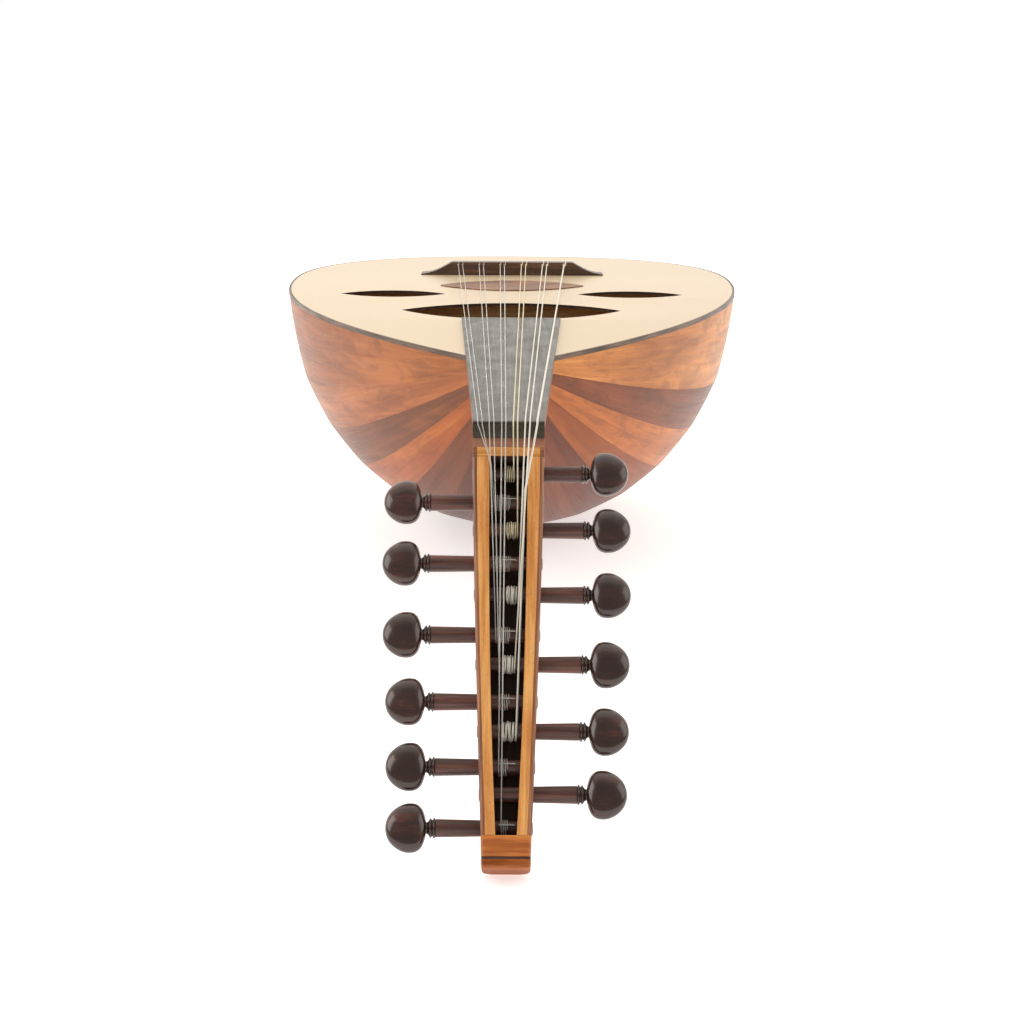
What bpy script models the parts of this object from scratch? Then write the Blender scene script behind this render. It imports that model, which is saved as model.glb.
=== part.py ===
"""Oud: a short-necked fretless lute, lying on its back.

It has a bowl of thirteen ribs, a flat soundboard, a neck, a bent-back pegbox with twelve
turning pegs, and eleven strings. Sizes are in millimetres and become metres when a mesh is
made. Two frames are used below:
- the instrument's: x across, y = 0 at the nut and growing to the tail, z = 0 on the soundboard's face;
- the pegbox's: x across, t along it from the nut, h down from its open face.
"""

import math

import bmesh
import bpy
from mathutils import Vector
from mathutils.geometry import tessellate_polygon

MM = 0.001

# ---- where the instrument's frame sits, so that its box is centred and it rests at z = 0 ----
SHIFT_Y = -279.22
SHIFT_Z = 193.0

# ---- spaces between glued pieces ----
GAP = 0.3
THIN_GAP = 0.15

# ---- body ----
NECK_LENGTH = 198.4  # nut to joint
BODY_LENGTH = 498.0  # joint to tail
BODY_HALF = 179.0
WIDEST_AT = 335.0  # from the joint
JOINT_HALF = 28.2
TAIL_POWER = 2.5  # 2 would make the tail an ellipse, more is squarer
BOWL_DEPTH = 193.0
ROUNDNESS = BOWL_DEPTH / BODY_HALF
RIB_THICK = 2.6
MIDDLE_RIBS = 11
SIDE_RIB_ANGLE = math.radians(21.0)
RIB_END_RADIUS = 15.0  # the ribs stop this far from the long axis, under the end clasp
BOARD_THICK = 2.0
BINDING_WIDTH = 1.8
BINDING_HEIGHT = 4.0
LEDGE_WIDTH = 6.0  # the binding's rebate, which carries the soundboard
RIB_TOP = -(BINDING_HEIGHT + GAP)
MAIN_HOLE = (0.0, 185.0, 80.7, 42.0, 34.5)  # x, s, half length, reach to the neck, reach to the tail
SIDE_HOLE = (92.0, 265.0, 41.0, 16.5, 17.5)
BRACES_AT = (62.0, 126.0, 234.0, 299.0, 346.0, 402.0, 448.0)
BRACE_THICK = 5.2
BRACE_HEIGHT = 15.0
BRACE_END_HEIGHT = 4.5
BRACE_TAPER = 24.0
CLASP_HALF = 72.0
CLASP_THICK = 1.6
CLASP_DROP = 24.0
CLASP_END_DROP = 3.0

# ---- neck ----
NUT_HALF = 18.65
NUT_LENGTH = 5.0
NUT_TOP = 2.9
NUT_BOTTOM = -5.5
FINGERBOARD_END = 338.3
FINGERBOARD_TOP = 2.0
NECK_DEPTHS = (24.6, 30.2)  # at the nut and at the joint

# ---- pegbox ----
PEGBOX_ANGLE = math.radians(51.5)
PEGBOX_Z = -10.7
CHANNEL_START = 5.0
CHANNEL_END = 203.0
PEGBOX_LENGTH = 213.2
PEGBOX_HALF = 18.7
PEGBOX_TAPER = 6.9
CHANNEL_HALF = 9.8
CHANNEL_TAPER = 4.7
BACK_THICK = 4.0
INLAY_END = PEGBOX_LENGTH + 1.15
CAP_START = PEGBOX_LENGTH + 1.3
CAP_END = 218.3

# ---- pegs: t of each row, wall to head, and the wound stretch of the shank as x from low to high ----
PEG_H = 10.35
PEG_SIDES = 14
PEG_TIP_RADIUS = 3.45
PEG_COLLAR_RADIUS = 4.35
PEG_HOLE_ROOM = 0.2
COLLAR_LENGTH = 4.4
WINDING_THICK = 0.95
PEGS = {
    "right": (
        (10.6, 24.0, (-1.7, 3.4)),
        (42.5, 25.4, (-0.6, 5.4)),
        (78.0, 25.8, (-0.5, 6.1)),
        (115.0, 25.6, (-2.1, 4.4)),
        (149.5, 25.8, (-2.0, 5.4)),
        (181.0, 25.5, None),
    ),
    "left": (
        (27.0, 26.3, (-7.8, 0.8)),
        (61.0, 27.0, (-7.8, 1.4)),
        (99.5, 26.8, (-6.4, 1.0)),
        (134.5, 25.6, (-5.6, 1.0)),
        (167.5, 25.6, (-4.3, 0.4)),
        (197.6, 25.9, (-3.0, 0.6)),
    ),
}
# Half height and half thickness of a peg's button head, from its neck to its crown.
PEG_HEAD = (
    (0.7, 5.4, 4.0),
    (2.4, 9.4, 5.0),
    (5.2, 11.6, 5.7),
    (8.4, 12.0, 5.8),
    (12.4, 11.1, 5.4),
    (15.9, 8.9, 4.4),
    (18.4, 5.9, 3.2),
    (19.7, 0.9, 0.7),
)

# ---- bridge, pickguard and strings ----
BRIDGE_Y = 570.6
BRIDGE_LENGTH = 17.0
BRIDGE_WING = (
    (50.0, 11.3),
    (51.5, 9.4),
    (54.5, 7.0),
    (59.0, 4.9),
    (65.0, 3.2),
    (71.0, 2.0),
    (76.0, 1.2),
)
PICKGUARD = (0.0, 309.0, 57.0, 26.5, 26.5)
PICKGUARD_TOP = 0.75
STRING_Z = 9.0  # at the bridge
# x at the nut, x at the bridge, radius, peg side, peg number, x at the peg,
# and (t, x) where the string bends over the channel's edge
STRINGS = (
    (-16.1, -45.0, 0.32, "left", 1, -7.3, (9.0, -9.0)),
    (-13.8, -41.4, 0.32, "left", 2, -7.3, (12.0, -9.0)),
    (-10.1, -27.6, 0.36, "left", 3, -5.9, None),
    (-7.7, -24.0, 0.36, "left", 4, -3.6, None),
    (-3.6, -10.0, 0.40, "left", 5, -3.9, None),
    (-1.5, -6.4, 0.40, "left", 6, -2.5, None),
    (2.4, 7.8, 0.42, "right", 1, 2.9, (5.4, 2.6)),
    (4.6, 11.4, 0.42, "right", 2, 4.9, None),
    (8.6, 25.4, 0.46, "right", 3, 5.5, None),
    (11.1, 29.0, 0.46, "right", 4, 3.8, None),
    (14.9, 43.4, 0.62, "right", 5, 4.7, (25.0, 8.6)),
)


# ---- building blocks ----
def clear_scene():
    for old in list(bpy.data.objects):
        bpy.data.objects.remove(old, do_unlink=True)


def material(name, colour, roughness, metallic=0.0):
    made = bpy.data.materials.new(name)
    made.use_nodes = True
    shader = made.node_tree.nodes["Principled BSDF"]
    shader.inputs["Base Color"].default_value = (*colour, 1.0)
    shader.inputs["Roughness"].default_value = roughness
    shader.inputs["Metallic"].default_value = metallic
    return made


def empty(name, parent=None, place=(0.0, 0.0, 0.0), tilt=0.0):
    """A frame at place, in mm under its parent, turned by tilt about X."""
    made = bpy.data.objects.new(name, None)
    bpy.context.scene.collection.objects.link(made)
    made.parent = parent
    made.location = Vector(place) * MM
    made.rotation_euler.x = tilt
    return made


def solid(name, shape, paint, parent):
    """One closed mesh object from points in mm and faces."""
    points, faces = shape
    mesh = bpy.data.meshes.new(name)
    mesh.from_pydata([Vector(p) * MM for p in points], [], faces)
    bm = bmesh.new()
    bm.from_mesh(mesh)
    bmesh.ops.recalc_face_normals(bm, faces=bm.faces)
    bm.to_mesh(mesh)
    bm.free()
    mesh.shade_smooth()
    mesh.set_sharp_from_angle(angle=math.radians(30))
    mesh.materials.append(paint)
    made = bpy.data.objects.new(name, mesh)
    bpy.context.scene.collection.objects.link(made)
    made.parent = parent
    return made


def loft(rings):
    """A skin through closed rings of equal length, with both ends filled."""
    count = len(rings[0])
    points = [p for ring in rings for p in ring]
    faces = [
        (i * count + j, i * count + k, (i + 1) * count + k, (i + 1) * count + j)
        for i in range(len(rings) - 1)
        for j, k in zip(range(count), [*range(1, count), 0])
    ]
    last = (len(rings) - 1) * count
    faces.append(tuple(reversed(range(count))))
    faces.append(tuple(range(last, last + count)))
    return points, faces


def plate(outer, holes, low, high):
    """A flat plate between two heights. The loops are lists of (x, y)."""
    loops = [outer, *holes]
    flat = [p for loop in loops for p in loop]
    count = len(flat)
    points = [(x, y, high) for x, y in flat] + [(x, y, low) for x, y in flat]
    faces = []
    for a, b, c in tessellate_polygon([[Vector((x, y, 0.0)) for x, y in loop] for loop in loops]):
        faces.append((a, b, c))
        faces.append((a + count, c + count, b + count))
    start = 0
    for loop in loops:
        for i in range(len(loop)):
            a, b = start + i, start + (i + 1) % len(loop)
            faces.append((a, b, b + count, a + count))
        start += len(loop)
    return points, faces


def across(profile, low, high):
    """A prism of a (y, z) profile between two x."""
    return loft([[(x, y, z) for y, z in profile] for x in (low, high)])


def lengthwise(profile, low, high):
    """A prism of an (x, z) profile between two y."""
    return loft([[(x, y, z) for x, z in profile] for y in (low, high)])


# ---- the two frames ----
def to_pegbox(y, z):
    """(t, h) of a point of the instrument's frame."""
    dy, dz = y + NUT_LENGTH, z - PEGBOX_Z
    cos, sin = math.cos(PEGBOX_ANGLE), math.sin(PEGBOX_ANGLE)
    return -dy * cos - dz * sin, dy * sin - dz * cos


def from_pegbox(x, t, h):
    """Point of the instrument's frame at t along the pegbox and h below its open face."""
    cos, sin = math.cos(PEGBOX_ANGLE), math.sin(PEGBOX_ANGLE)
    return Vector((x, -NUT_LENGTH - t * cos + h * sin, PEGBOX_Z - t * sin - h * cos))


def pegbox_loft(stations, section):
    """A skin along the pegbox, in its own frame, through section(t), a list of (x, h)."""
    return loft([[(x, -t, -h) for x, h in section(t)] for t in stations])


# ---- body outline ----
def half_width(s):
    """Half width of the body at s from the joint: a parabola, then a squared ellipse at the tail."""
    if s <= WIDEST_AT:
        return JOINT_HALF + (BODY_HALF - JOINT_HALF) * (1 - (1 - s / WIDEST_AT) ** 2)
    u = min(1.0, (s - WIDEST_AT) / (BODY_LENGTH - WIDEST_AT))
    return BODY_HALF * (1 - u**TAIL_POWER) ** (1 / TAIL_POWER)


def slope(s):
    return half_width(s + 0.5) - half_width(s - 0.5)


def tail_at(radius):
    """Distance s of the tail's surface at this radius from the long axis."""
    part = 1 - (radius / BODY_HALF) ** TAIL_POWER
    return WIDEST_AT + (BODY_LENGTH - WIDEST_AT) * part ** (1 / TAIL_POWER)


def outline(front, back, end_radius):
    """(s, w) from the joint to the tail, ending end_radius from the axis."""
    curve = []
    for i in range(front):
        s = GAP + (WIDEST_AT - GAP) * i / front
        curve.append((s, half_width(s)))
    last = math.acos((end_radius / BODY_HALF) ** (TAIL_POWER / 2))
    for i in range(back + 1):
        turn = last * i / back
        s = WIDEST_AT + (BODY_LENGTH - WIDEST_AT) * math.sin(turn) ** (2 / TAIL_POWER)
        curve.append((s, BODY_HALF * max(0.0, math.cos(turn)) ** (2 / TAIL_POWER)))
    return curve


def tangents(curve):
    """Unit tangent (ds, dw) at each point. A curve that ends on the axis runs straight across it."""
    found = []
    for i in range(len(curve)):
        (s0, w0), (s1, w1) = curve[max(0, i - 1)], curve[min(len(curve) - 1, i + 1)]
        if i == len(curve) - 1 and curve[i][1] < 0.01:
            s0, s1 = 0.0, 0.0
        size = math.hypot(s1 - s0, w1 - w0)
        found.append(((s1 - s0) / size, (w1 - w0) / size))
    return found


def inward(curve, distance):
    """The curve moved to its inner side."""
    return [
        (s + distance * dw, w - distance * ds) for (s, w), (ds, dw) in zip(curve, tangents(curve))
    ]


# ---- bowl ----
def rib_shape(curve, inner, start, end, cuts):
    """A rib between two seam angles, measured from the right rim round the back.
    A start of 0 or an end of pi stops level, under the binding."""
    rings = []
    for outer_point, inner_point in zip(curve, inner):
        ring = []
        for (s, w), order in ((outer_point, range(cuts + 1)), (inner_point, range(cuts, -1, -1))):
            seam = 0.5 * GAP / w
            rim = math.asin(-RIB_TOP / (ROUNDNESS * w))
            first = rim if start == 0 else start + seam
            last = math.pi - rim if end == math.pi else end - seam
            for k in order:
                turn = first + (last - first) * k / cuts
                x, z = w * math.cos(turn), -ROUNDNESS * w * math.sin(turn)
                ring.append((x, NECK_LENGTH + s, z))
        rings.append(ring)
    return loft(rings)


def make_ribs(parent, light, dark):
    curve = outline(11, 10, RIB_END_RADIUS)
    inner = inward(curve, RIB_THICK)
    step = (math.pi - 2 * SIDE_RIB_ANGLE) / MIDDLE_RIBS
    solid("rib_01_side_right", rib_shape(curve, inner, 0, SIDE_RIB_ANGLE, 3), light, parent)
    for k in range(MIDDLE_RIBS):
        start = SIDE_RIB_ANGLE + k * step
        paint = light if k % 2 else dark
        solid(f"rib_{k + 2:02d}", rib_shape(curve, inner, start, start + step, 2), paint, parent)
    last = rib_shape(curve, inner, math.pi - SIDE_RIB_ANGLE, math.pi, 3)
    solid(f"rib_{MIDDLE_RIBS + 2}_side_left", last, light, parent)


def half_disc(radius, steps=14):
    """(x, z) profile of the bowl's inside at this radius, flat under the binding."""
    start = math.asin(-RIB_TOP / (ROUNDNESS * radius))
    turns = [start + (math.pi - 2 * start) * i / steps for i in range(steps + 1)]
    return [(radius * math.cos(a), -ROUNDNESS * radius * math.sin(a)) for a in turns]


def make_blocks(parent, wood):
    room = 0.9
    rings = []
    for s in (1.0, 38.0):
        radius = half_width(s) - RIB_THICK * math.hypot(1, slope(s + 0.5)) - room
        rings.append([(x, NECK_LENGTH + s, z) for x, z in half_disc(radius)])
    solid("neck_block", loft(rings), wood, parent)
    radius = 44.0
    back = NECK_LENGTH + tail_at(radius) - RIB_THICK - 2 * GAP
    solid("tail_block", lengthwise(half_disc(radius), back - 22.6, back), wood, parent)


def make_braces(parent, wood):
    top = -BOARD_THICK - GAP
    for number, s in enumerate(BRACES_AT, 1):
        half = min(
            half_width(q) - LEDGE_WIDTH * math.hypot(1, slope(q)) - 1.2 for q in (s - 3.0, s + 3.0)
        )
        profile = [
            (-half, top),
            (half, top),
            (half, top - BRACE_END_HEIGHT),
            (half - BRACE_TAPER, top - BRACE_HEIGHT),
            (-half + BRACE_TAPER, top - BRACE_HEIGHT),
            (-half, top - BRACE_END_HEIGHT),
        ]
        y = NECK_LENGTH + s - BRACE_THICK / 2
        solid(f"brace_{number}", lengthwise(profile, y, y + BRACE_THICK), wood, parent)


def make_end_clasp(parent, wood):
    """A thin shaped strip outside the tail, where the ribs come together."""
    columns, rows = 22, 4
    inner = []
    for i in range(columns + 1):
        x = CLASP_HALF * (2 * i / columns - 1)
        drop = CLASP_END_DROP + (CLASP_DROP - CLASP_END_DROP) * (1 - (x / CLASP_HALF) ** 2)
        for j in range(rows + 1):
            z = RIB_TOP + 0.4 - drop * j / rows
            inner.append((x, NECK_LENGTH + tail_at(math.hypot(x, z / ROUNDNESS)) + 0.5, z))
    outer = [(x, y + CLASP_THICK, z) for x, y, z in inner]
    count, row = len(inner), rows + 1
    faces = []
    for i in range(columns):
        for j in range(rows):
            a = i * row + j
            quad = (a, a + 1, a + row + 1, a + row)
            faces += [quad, tuple(count + q for q in reversed(quad))]
    edge = [i * row for i in range(columns + 1)]
    edge += [columns * row + j for j in range(1, row)]
    edge += [i * row + rows for i in reversed(range(columns))]
    edge += list(range(rows - 1, 0, -1))
    faces += [(a, b, count + b, count + a) for a, b in zip(edge, edge[1:] + edge[:1])]
    solid("end_clasp", (inner + outer, faces), wood, parent)


# ---- face ----
def almond(x, s, half_length, near, far, steps):
    """A pointed hole or plate of two arcs whose tips lie on one line across."""

    def arc(reach, side):
        radius = (half_length**2 + reach**2) / (2 * reach)
        across_it = [-side * half_length * (2 * i / steps - 1) for i in range(steps)]
        return [
            (x + u, NECK_LENGTH + s + side * (math.sqrt(radius**2 - u**2) - radius + reach))
            for u in across_it
        ]

    return arc(near, -1) + arc(far, 1)


def make_soundboard(parent, wood):
    curve = inward(outline(16, 22, 0.0), BINDING_WIDTH + THIN_GAP)
    (s0, w0), (s1, w1) = curve[:2]
    start = GAP + 0.1
    curve.insert(0, (start, w0 - (s0 - start) * (w1 - w0) / (s1 - s0)))
    curve[-1] = (curve[-1][0], 0.0)
    right = [(w, NECK_LENGTH + s) for s, w in curve]
    left = [(-x, y) for x, y in right[:-1]]
    x, s, half_length, near, far = SIDE_HOLE
    holes = [almond(*MAIN_HOLE, 14)] + [
        almond(side * x, s, half_length, near, far, 9) for side in (-1, 1)
    ]
    solid("soundboard", plate(left + right[::-1], holes, -BOARD_THICK, 0.0), wood, parent)


def make_binding(parent, wood):
    """An L-shaped strip round the rim, open at the neck. Its ledge carries the soundboard."""
    profile = (
        (0.0, 0.0),
        (0.0, -BINDING_HEIGHT),
        (LEDGE_WIDTH, -BINDING_HEIGHT),
        (LEDGE_WIDTH, -BOARD_THICK - GAP),
        (BINDING_WIDTH, -BOARD_THICK - GAP),
        (BINDING_WIDTH, 0.0),
    )
    curve = outline(16, 22, 0.0)
    places = list(zip(curve, tangents(curve)))
    rings = []
    for side, order in ((-1, places), (1, places[-2::-1])):
        for (s, w), (ds, dw) in order:
            rings.append([(side * (w - d * ds), NECK_LENGTH + s + d * dw, z) for d, z in profile])
    solid("rim_binding", loft(rings), wood, parent)


def make_bridge(parent, wood):
    right = [*BRIDGE_WING, (BRIDGE_WING[-1][0], THIN_GAP)]
    profile = [(-x, z) for x, z in right[::-1]] + right
    rings = []
    for part, height in ((0.0, 1.0), (0.55, 1.0), (1.0, 0.6)):
        y = BRIDGE_Y + BRIDGE_LENGTH * part
        rings.append([(x, y, THIN_GAP + (z - THIN_GAP) * height) for x, z in profile])
    solid("bridge", loft(rings), wood, parent)


# ---- neck ----
def neck_half(y):
    return NUT_HALF + (JOINT_HALF - NUT_HALF) * y / NECK_LENGTH


def make_neck(parent, wood):
    """A D-shaped beam whose nut end is cut square above and along the pegbox's end below."""
    rings = []
    for y in (0.0, 12.0, 24.0, 60.0, 105.0, 150.0, NECK_LENGTH - GAP):
        half = neck_half(y) - 0.05
        depth = NECK_DEPTHS[0] + (NECK_DEPTHS[1] - NECK_DEPTHS[0]) * y / NECK_LENGTH - THIN_GAP
        turns = [math.pi * i / 16 for i in range(17)]
        rings.append(
            [(half * math.cos(a), y, -THIN_GAP - depth * math.sin(a) ** 0.9) for a in turns]
        )
    neck = solid("neck", loft(rings), wood, parent)
    bm = bmesh.new()
    bm.from_mesh(neck.data)
    bmesh.ops.bisect_plane(
        bm,
        geom=[*bm.verts, *bm.edges, *bm.faces],
        plane_co=from_pegbox(0.0, -THIN_GAP, 0.0) * MM,
        plane_no=from_pegbox(0.0, 1.0, 0.0) - from_pegbox(0.0, 0.0, 0.0),
        clear_outer=True,
    )
    bmesh.ops.holes_fill(bm, edges=[e for e in bm.edges if e.is_boundary], sides=0)
    bmesh.ops.recalc_face_normals(bm, faces=bm.faces)
    bm.to_mesh(neck.data)
    bm.free()


def make_fingerboard(parent, wood):
    right = [(neck_half(y), y) for y in (0.0, NECK_LENGTH, FINGERBOARD_END)]
    left = [(-x, y) for x, y in right[::-1]]
    solid("fingerboard", plate(right + left, [], THIN_GAP, FINGERBOARD_TOP), wood, parent)


def make_nut(parent, wood):
    profile = [
        (-NUT_LENGTH, NUT_BOTTOM),
        (-GAP, NUT_BOTTOM),
        (-GAP, NUT_TOP - 0.3),
        (-0.9, NUT_TOP),
        (-3.9, NUT_TOP),
        (-4.7, NUT_TOP - 0.35),
        (-NUT_LENGTH, NUT_TOP - 1.2),
    ]
    solid("nut", across(profile, -NUT_HALF, NUT_HALF), wood, parent)


# ---- pegbox ----
def outer_half(t):
    return PEGBOX_HALF - PEGBOX_TAPER * (max(t, 0.0) / PEGBOX_LENGTH) ** 1.3


def channel_half(t):
    part = max(0.0, (t - CHANNEL_START) / (CHANNEL_END - CHANNEL_START))
    return CHANNEL_HALF - CHANNEL_TAPER * part**2.2


def depth_at(t):
    return 24.0 - 4.4 * t / 218.0


def above_back(t):
    """Depth of the pieces that stand on the back plate."""
    return depth_at(t) - BACK_THICK - GAP


def wall_section(side):
    def section(t):
        outer, inner, low = outer_half(t), channel_half(t), above_back(t)
        edge = [(inner, 0.0), (outer - 1.8, 0.0), (outer - 0.5, 0.5), (outer, 1.8)]
        return [(side * x, h) for x, h in [*edge, (outer, low), (inner, low)]]

    return section


def block_section(t):
    half, low, corner = outer_half(t), above_back(t), 1.8
    top = [(-half, corner), (-half + corner, 0.0), (half - corner, 0.0), (half, corner)]
    return [*top, (half, low), (-half, low)]


def back_section(t):
    half, low, corner = outer_half(t), depth_at(t), 1.5
    high = low - BACK_THICK
    bottom = [(half, low - corner), (half - corner, low), (-half + corner, low), (-half, low - corner)]
    return [(-half, high), (half, high), *bottom]


def end_section(shrink):
    """The end's outline, with round lower corners, drawn in all round by shrink."""
    half, corner, radius = outer_half(PEGBOX_LENGTH) - 0.6 * shrink, 1.8, 5.0
    low = depth_at(PEGBOX_LENGTH) - shrink
    ring = [
        (-half, shrink + corner),
        (-half + corner, shrink),
        (half - corner, shrink),
        (half, shrink + corner),
    ]
    for side, turns in ((1, range(4)), (-1, range(3, -1, -1))):
        for k in turns:
            a = k * math.pi / 6
            x, h = radius * (math.cos(a) - 1), radius * (math.sin(a) - 1)
            ring.append((side * (half + x), low + h))
    return ring


def make_pegbox(parent, wood, end_wood, back_wood, dark):
    start, end = CHANNEL_START + GAP, CHANNEL_END - GAP
    stations = [start + (end - start) * i / 9 for i in range(10)]
    walls = [
        solid(f"pegbox_wall_{name}", pegbox_loft(stations, wall_section(side)), wood, parent)
        for name, side in (("right", 1), ("left", -1))
    ]
    head = [
        to_pegbox(-NUT_LENGTH, NUT_BOTTOM - GAP),
        to_pegbox(-GAP, NUT_BOTTOM - GAP),
        (THIN_GAP, (NUT_LENGTH - GAP + THIN_GAP * math.cos(PEGBOX_ANGLE)) / math.sin(PEGBOX_ANGLE)),
        (THIN_GAP, above_back(0.0)),
        (CHANNEL_START, above_back(CHANNEL_START)),
        (CHANNEL_START, 0.0),
        (0.0, 0.0),
    ]
    head_half = PEGBOX_HALF - 0.1
    shape = loft([[(x, -t, -h) for t, h in head] for x in (-head_half, head_half)])
    solid("pegbox_head_block", shape, wood, parent)
    shape = pegbox_loft((CHANNEL_END, 208.0, PEGBOX_LENGTH), block_section)
    solid("pegbox_end_block", shape, end_wood, parent)
    stations = [THIN_GAP + (PEGBOX_LENGTH - THIN_GAP) * i / 8 for i in range(9)]
    solid("pegbox_back", pegbox_loft(stations, back_section), back_wood, parent)
    shape = pegbox_loft((PEGBOX_LENGTH + THIN_GAP, INLAY_END), lambda t: end_section(0.0))
    solid("end_inlay", shape, dark, parent)
    shrinks = {CAP_START: 0.0, CAP_END - 2.0: 0.0, CAP_END - 0.6: 0.6, CAP_END: 2.0}
    shape = pegbox_loft(shrinks, lambda t: end_section(shrinks[t]))
    solid("end_cap", shape, end_wood, parent)
    return walls


# ---- pegs: along each peg, u = 0 in the middle of the pegbox and u grows to the head ----
def peg_ends(t, seat):
    """(tip, collar, head) along the peg."""
    head = outer_half(t) + seat
    return -outer_half(t) - 0.9, head - COLLAR_LENGTH, head


def shank_radius(u, tip, collar):
    return PEG_TIP_RADIUS + (PEG_COLLAR_RADIUS - PEG_TIP_RADIUS) * (u - tip) / (collar - tip)


def peg_ring(u, tall, thick):
    turns = [2 * math.pi * i / PEG_SIDES for i in range(PEG_SIDES)]
    return [(u, tall * math.cos(a), thick * math.sin(a)) for a in turns]


def peg_shape(t, seat, band):
    """A tapered shank with a raised band of wound string, a two-ring collar and a button head."""
    tip, collar, head = peg_ends(t, seat)
    turned = [(tip, PEG_TIP_RADIUS - 0.5), (tip + 0.5, PEG_TIP_RADIUS)]
    if band:
        for u, rises in zip(band, ((0.0, WINDING_THICK), (WINDING_THICK, 0.0))):
            turned += [(u, shank_radius(u, tip, collar) + rise) for rise in rises]
    turned += [
        (collar, PEG_COLLAR_RADIUS),
        (collar + 0.3, 4.95),
        (collar + 1.3, 4.95),
        (collar + 1.7, 4.0),
        (collar + 2.2, 4.7),
        (collar + 3.0, 4.7),
        (head - 0.4, 3.1),
    ]
    rings = [peg_ring(u, radius, radius) for u, radius in turned]
    rings += [peg_ring(head + u, tall, thick) for u, tall, thick in PEG_HEAD]
    return loft(rings)


def make_pegs(pegbox, walls, wood):
    """Each peg has its origin on its own axis. Tapered holes for them go through both walls."""
    hole_points, hole_faces = [], []
    for name, side in (("right", 1), ("left", -1)):
        for number, (t, seat, wound) in enumerate(PEGS[name], 1):
            band = sorted(side * x for x in wound) if wound else None
            peg = solid(f"peg_{name}_{number}", peg_shape(t, seat, band), wood, pegbox)
            peg.location = Vector((0.0, -t, -PEG_H)) * MM
            peg.rotation_euler.z = 0.0 if side > 0 else math.pi
            tip, collar, _ = peg_ends(t, seat)
            rings = []
            for u in (-30.0, 30.0):
                radius = shank_radius(u, tip, collar) + PEG_HOLE_ROOM
                ring = peg_ring(side * u, side * radius, radius)
                rings.append([(x, y - t, z - PEG_H) for x, y, z in ring])
            points, faces = loft(rings)
            hole_faces += [tuple(len(hole_points) + q for q in face) for face in faces]
            hole_points += points
    cutter = solid("peg_hole_cutter", (hole_points, hole_faces), wood, pegbox)
    cutter.hide_render = True
    cutter.display_type = "WIRE"
    for wall in walls:
        holes = wall.modifiers.new("peg_holes", "BOOLEAN")
        holes.operation = "DIFFERENCE"
        holes.solver = "EXACT"
        holes.object = cutter


# ---- strings ----
def touch(start, centre, radius):
    """Where a line from start first touches a circle, on the side of the open face, as (t, h)."""
    dt, dh = start[0] - centre[0], start[1] - centre[1]
    base = math.atan2(dh, dt)
    turn = math.acos(radius / math.hypot(dt, dh))
    places = [
        (centre[0] + radius * math.cos(a), centre[1] + radius * math.sin(a))
        for a in (base - turn, base + turn)
    ]
    return min(places, key=lambda place: place[1])


def string_path(at_nut, at_bridge, radius, side, number, at_peg, bend):
    """From the bridge over the nut and down into the pegbox, to the winding on its peg."""
    over_nut = NUT_TOP + GAP + radius
    path = [
        Vector((at_bridge, BRIDGE_Y - GAP, STRING_Z)),
        Vector((at_nut, -0.8, over_nut)),
        Vector((at_nut, -4.6, over_nut)),
        Vector((at_nut, -NUT_LENGTH - 0.45 - radius, NUT_TOP - 0.75)),
    ]
    start = to_pegbox(path[-1].y, path[-1].z)
    if bend:
        start = (bend[0], -radius - 0.4)
        path.append(from_pegbox(bend[1], *start))
    t, seat, _ = PEGS[side][number - 1]
    tip, collar, _ = peg_ends(t, seat)
    u = at_peg if side == "right" else -at_peg
    reach = shank_radius(u, tip, collar) + WINDING_THICK + GAP + radius
    path.append(from_pegbox(at_peg, *touch(start, (t, PEG_H), reach)))
    return path


def make_strings(parent, nylon, wound):
    for number, row in enumerate(STRINGS, 1):
        curve = bpy.data.curves.new(f"string_{number:02d}", "CURVE")
        curve.dimensions = "3D"
        curve.bevel_depth = row[2] * MM
        curve.bevel_resolution = 1
        curve.use_fill_caps = True
        path = string_path(*row)
        spline = curve.splines.new("POLY")
        spline.points.add(len(path) - 1)
        for point, place in zip(spline.points, path):
            point.co = (*(place * MM), 1.0)
        curve.materials.append(nylon if row[3] == "left" else wound)
        made = bpy.data.objects.new(curve.name, curve)
        bpy.context.scene.collection.objects.link(made)
        made.parent = parent


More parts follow.
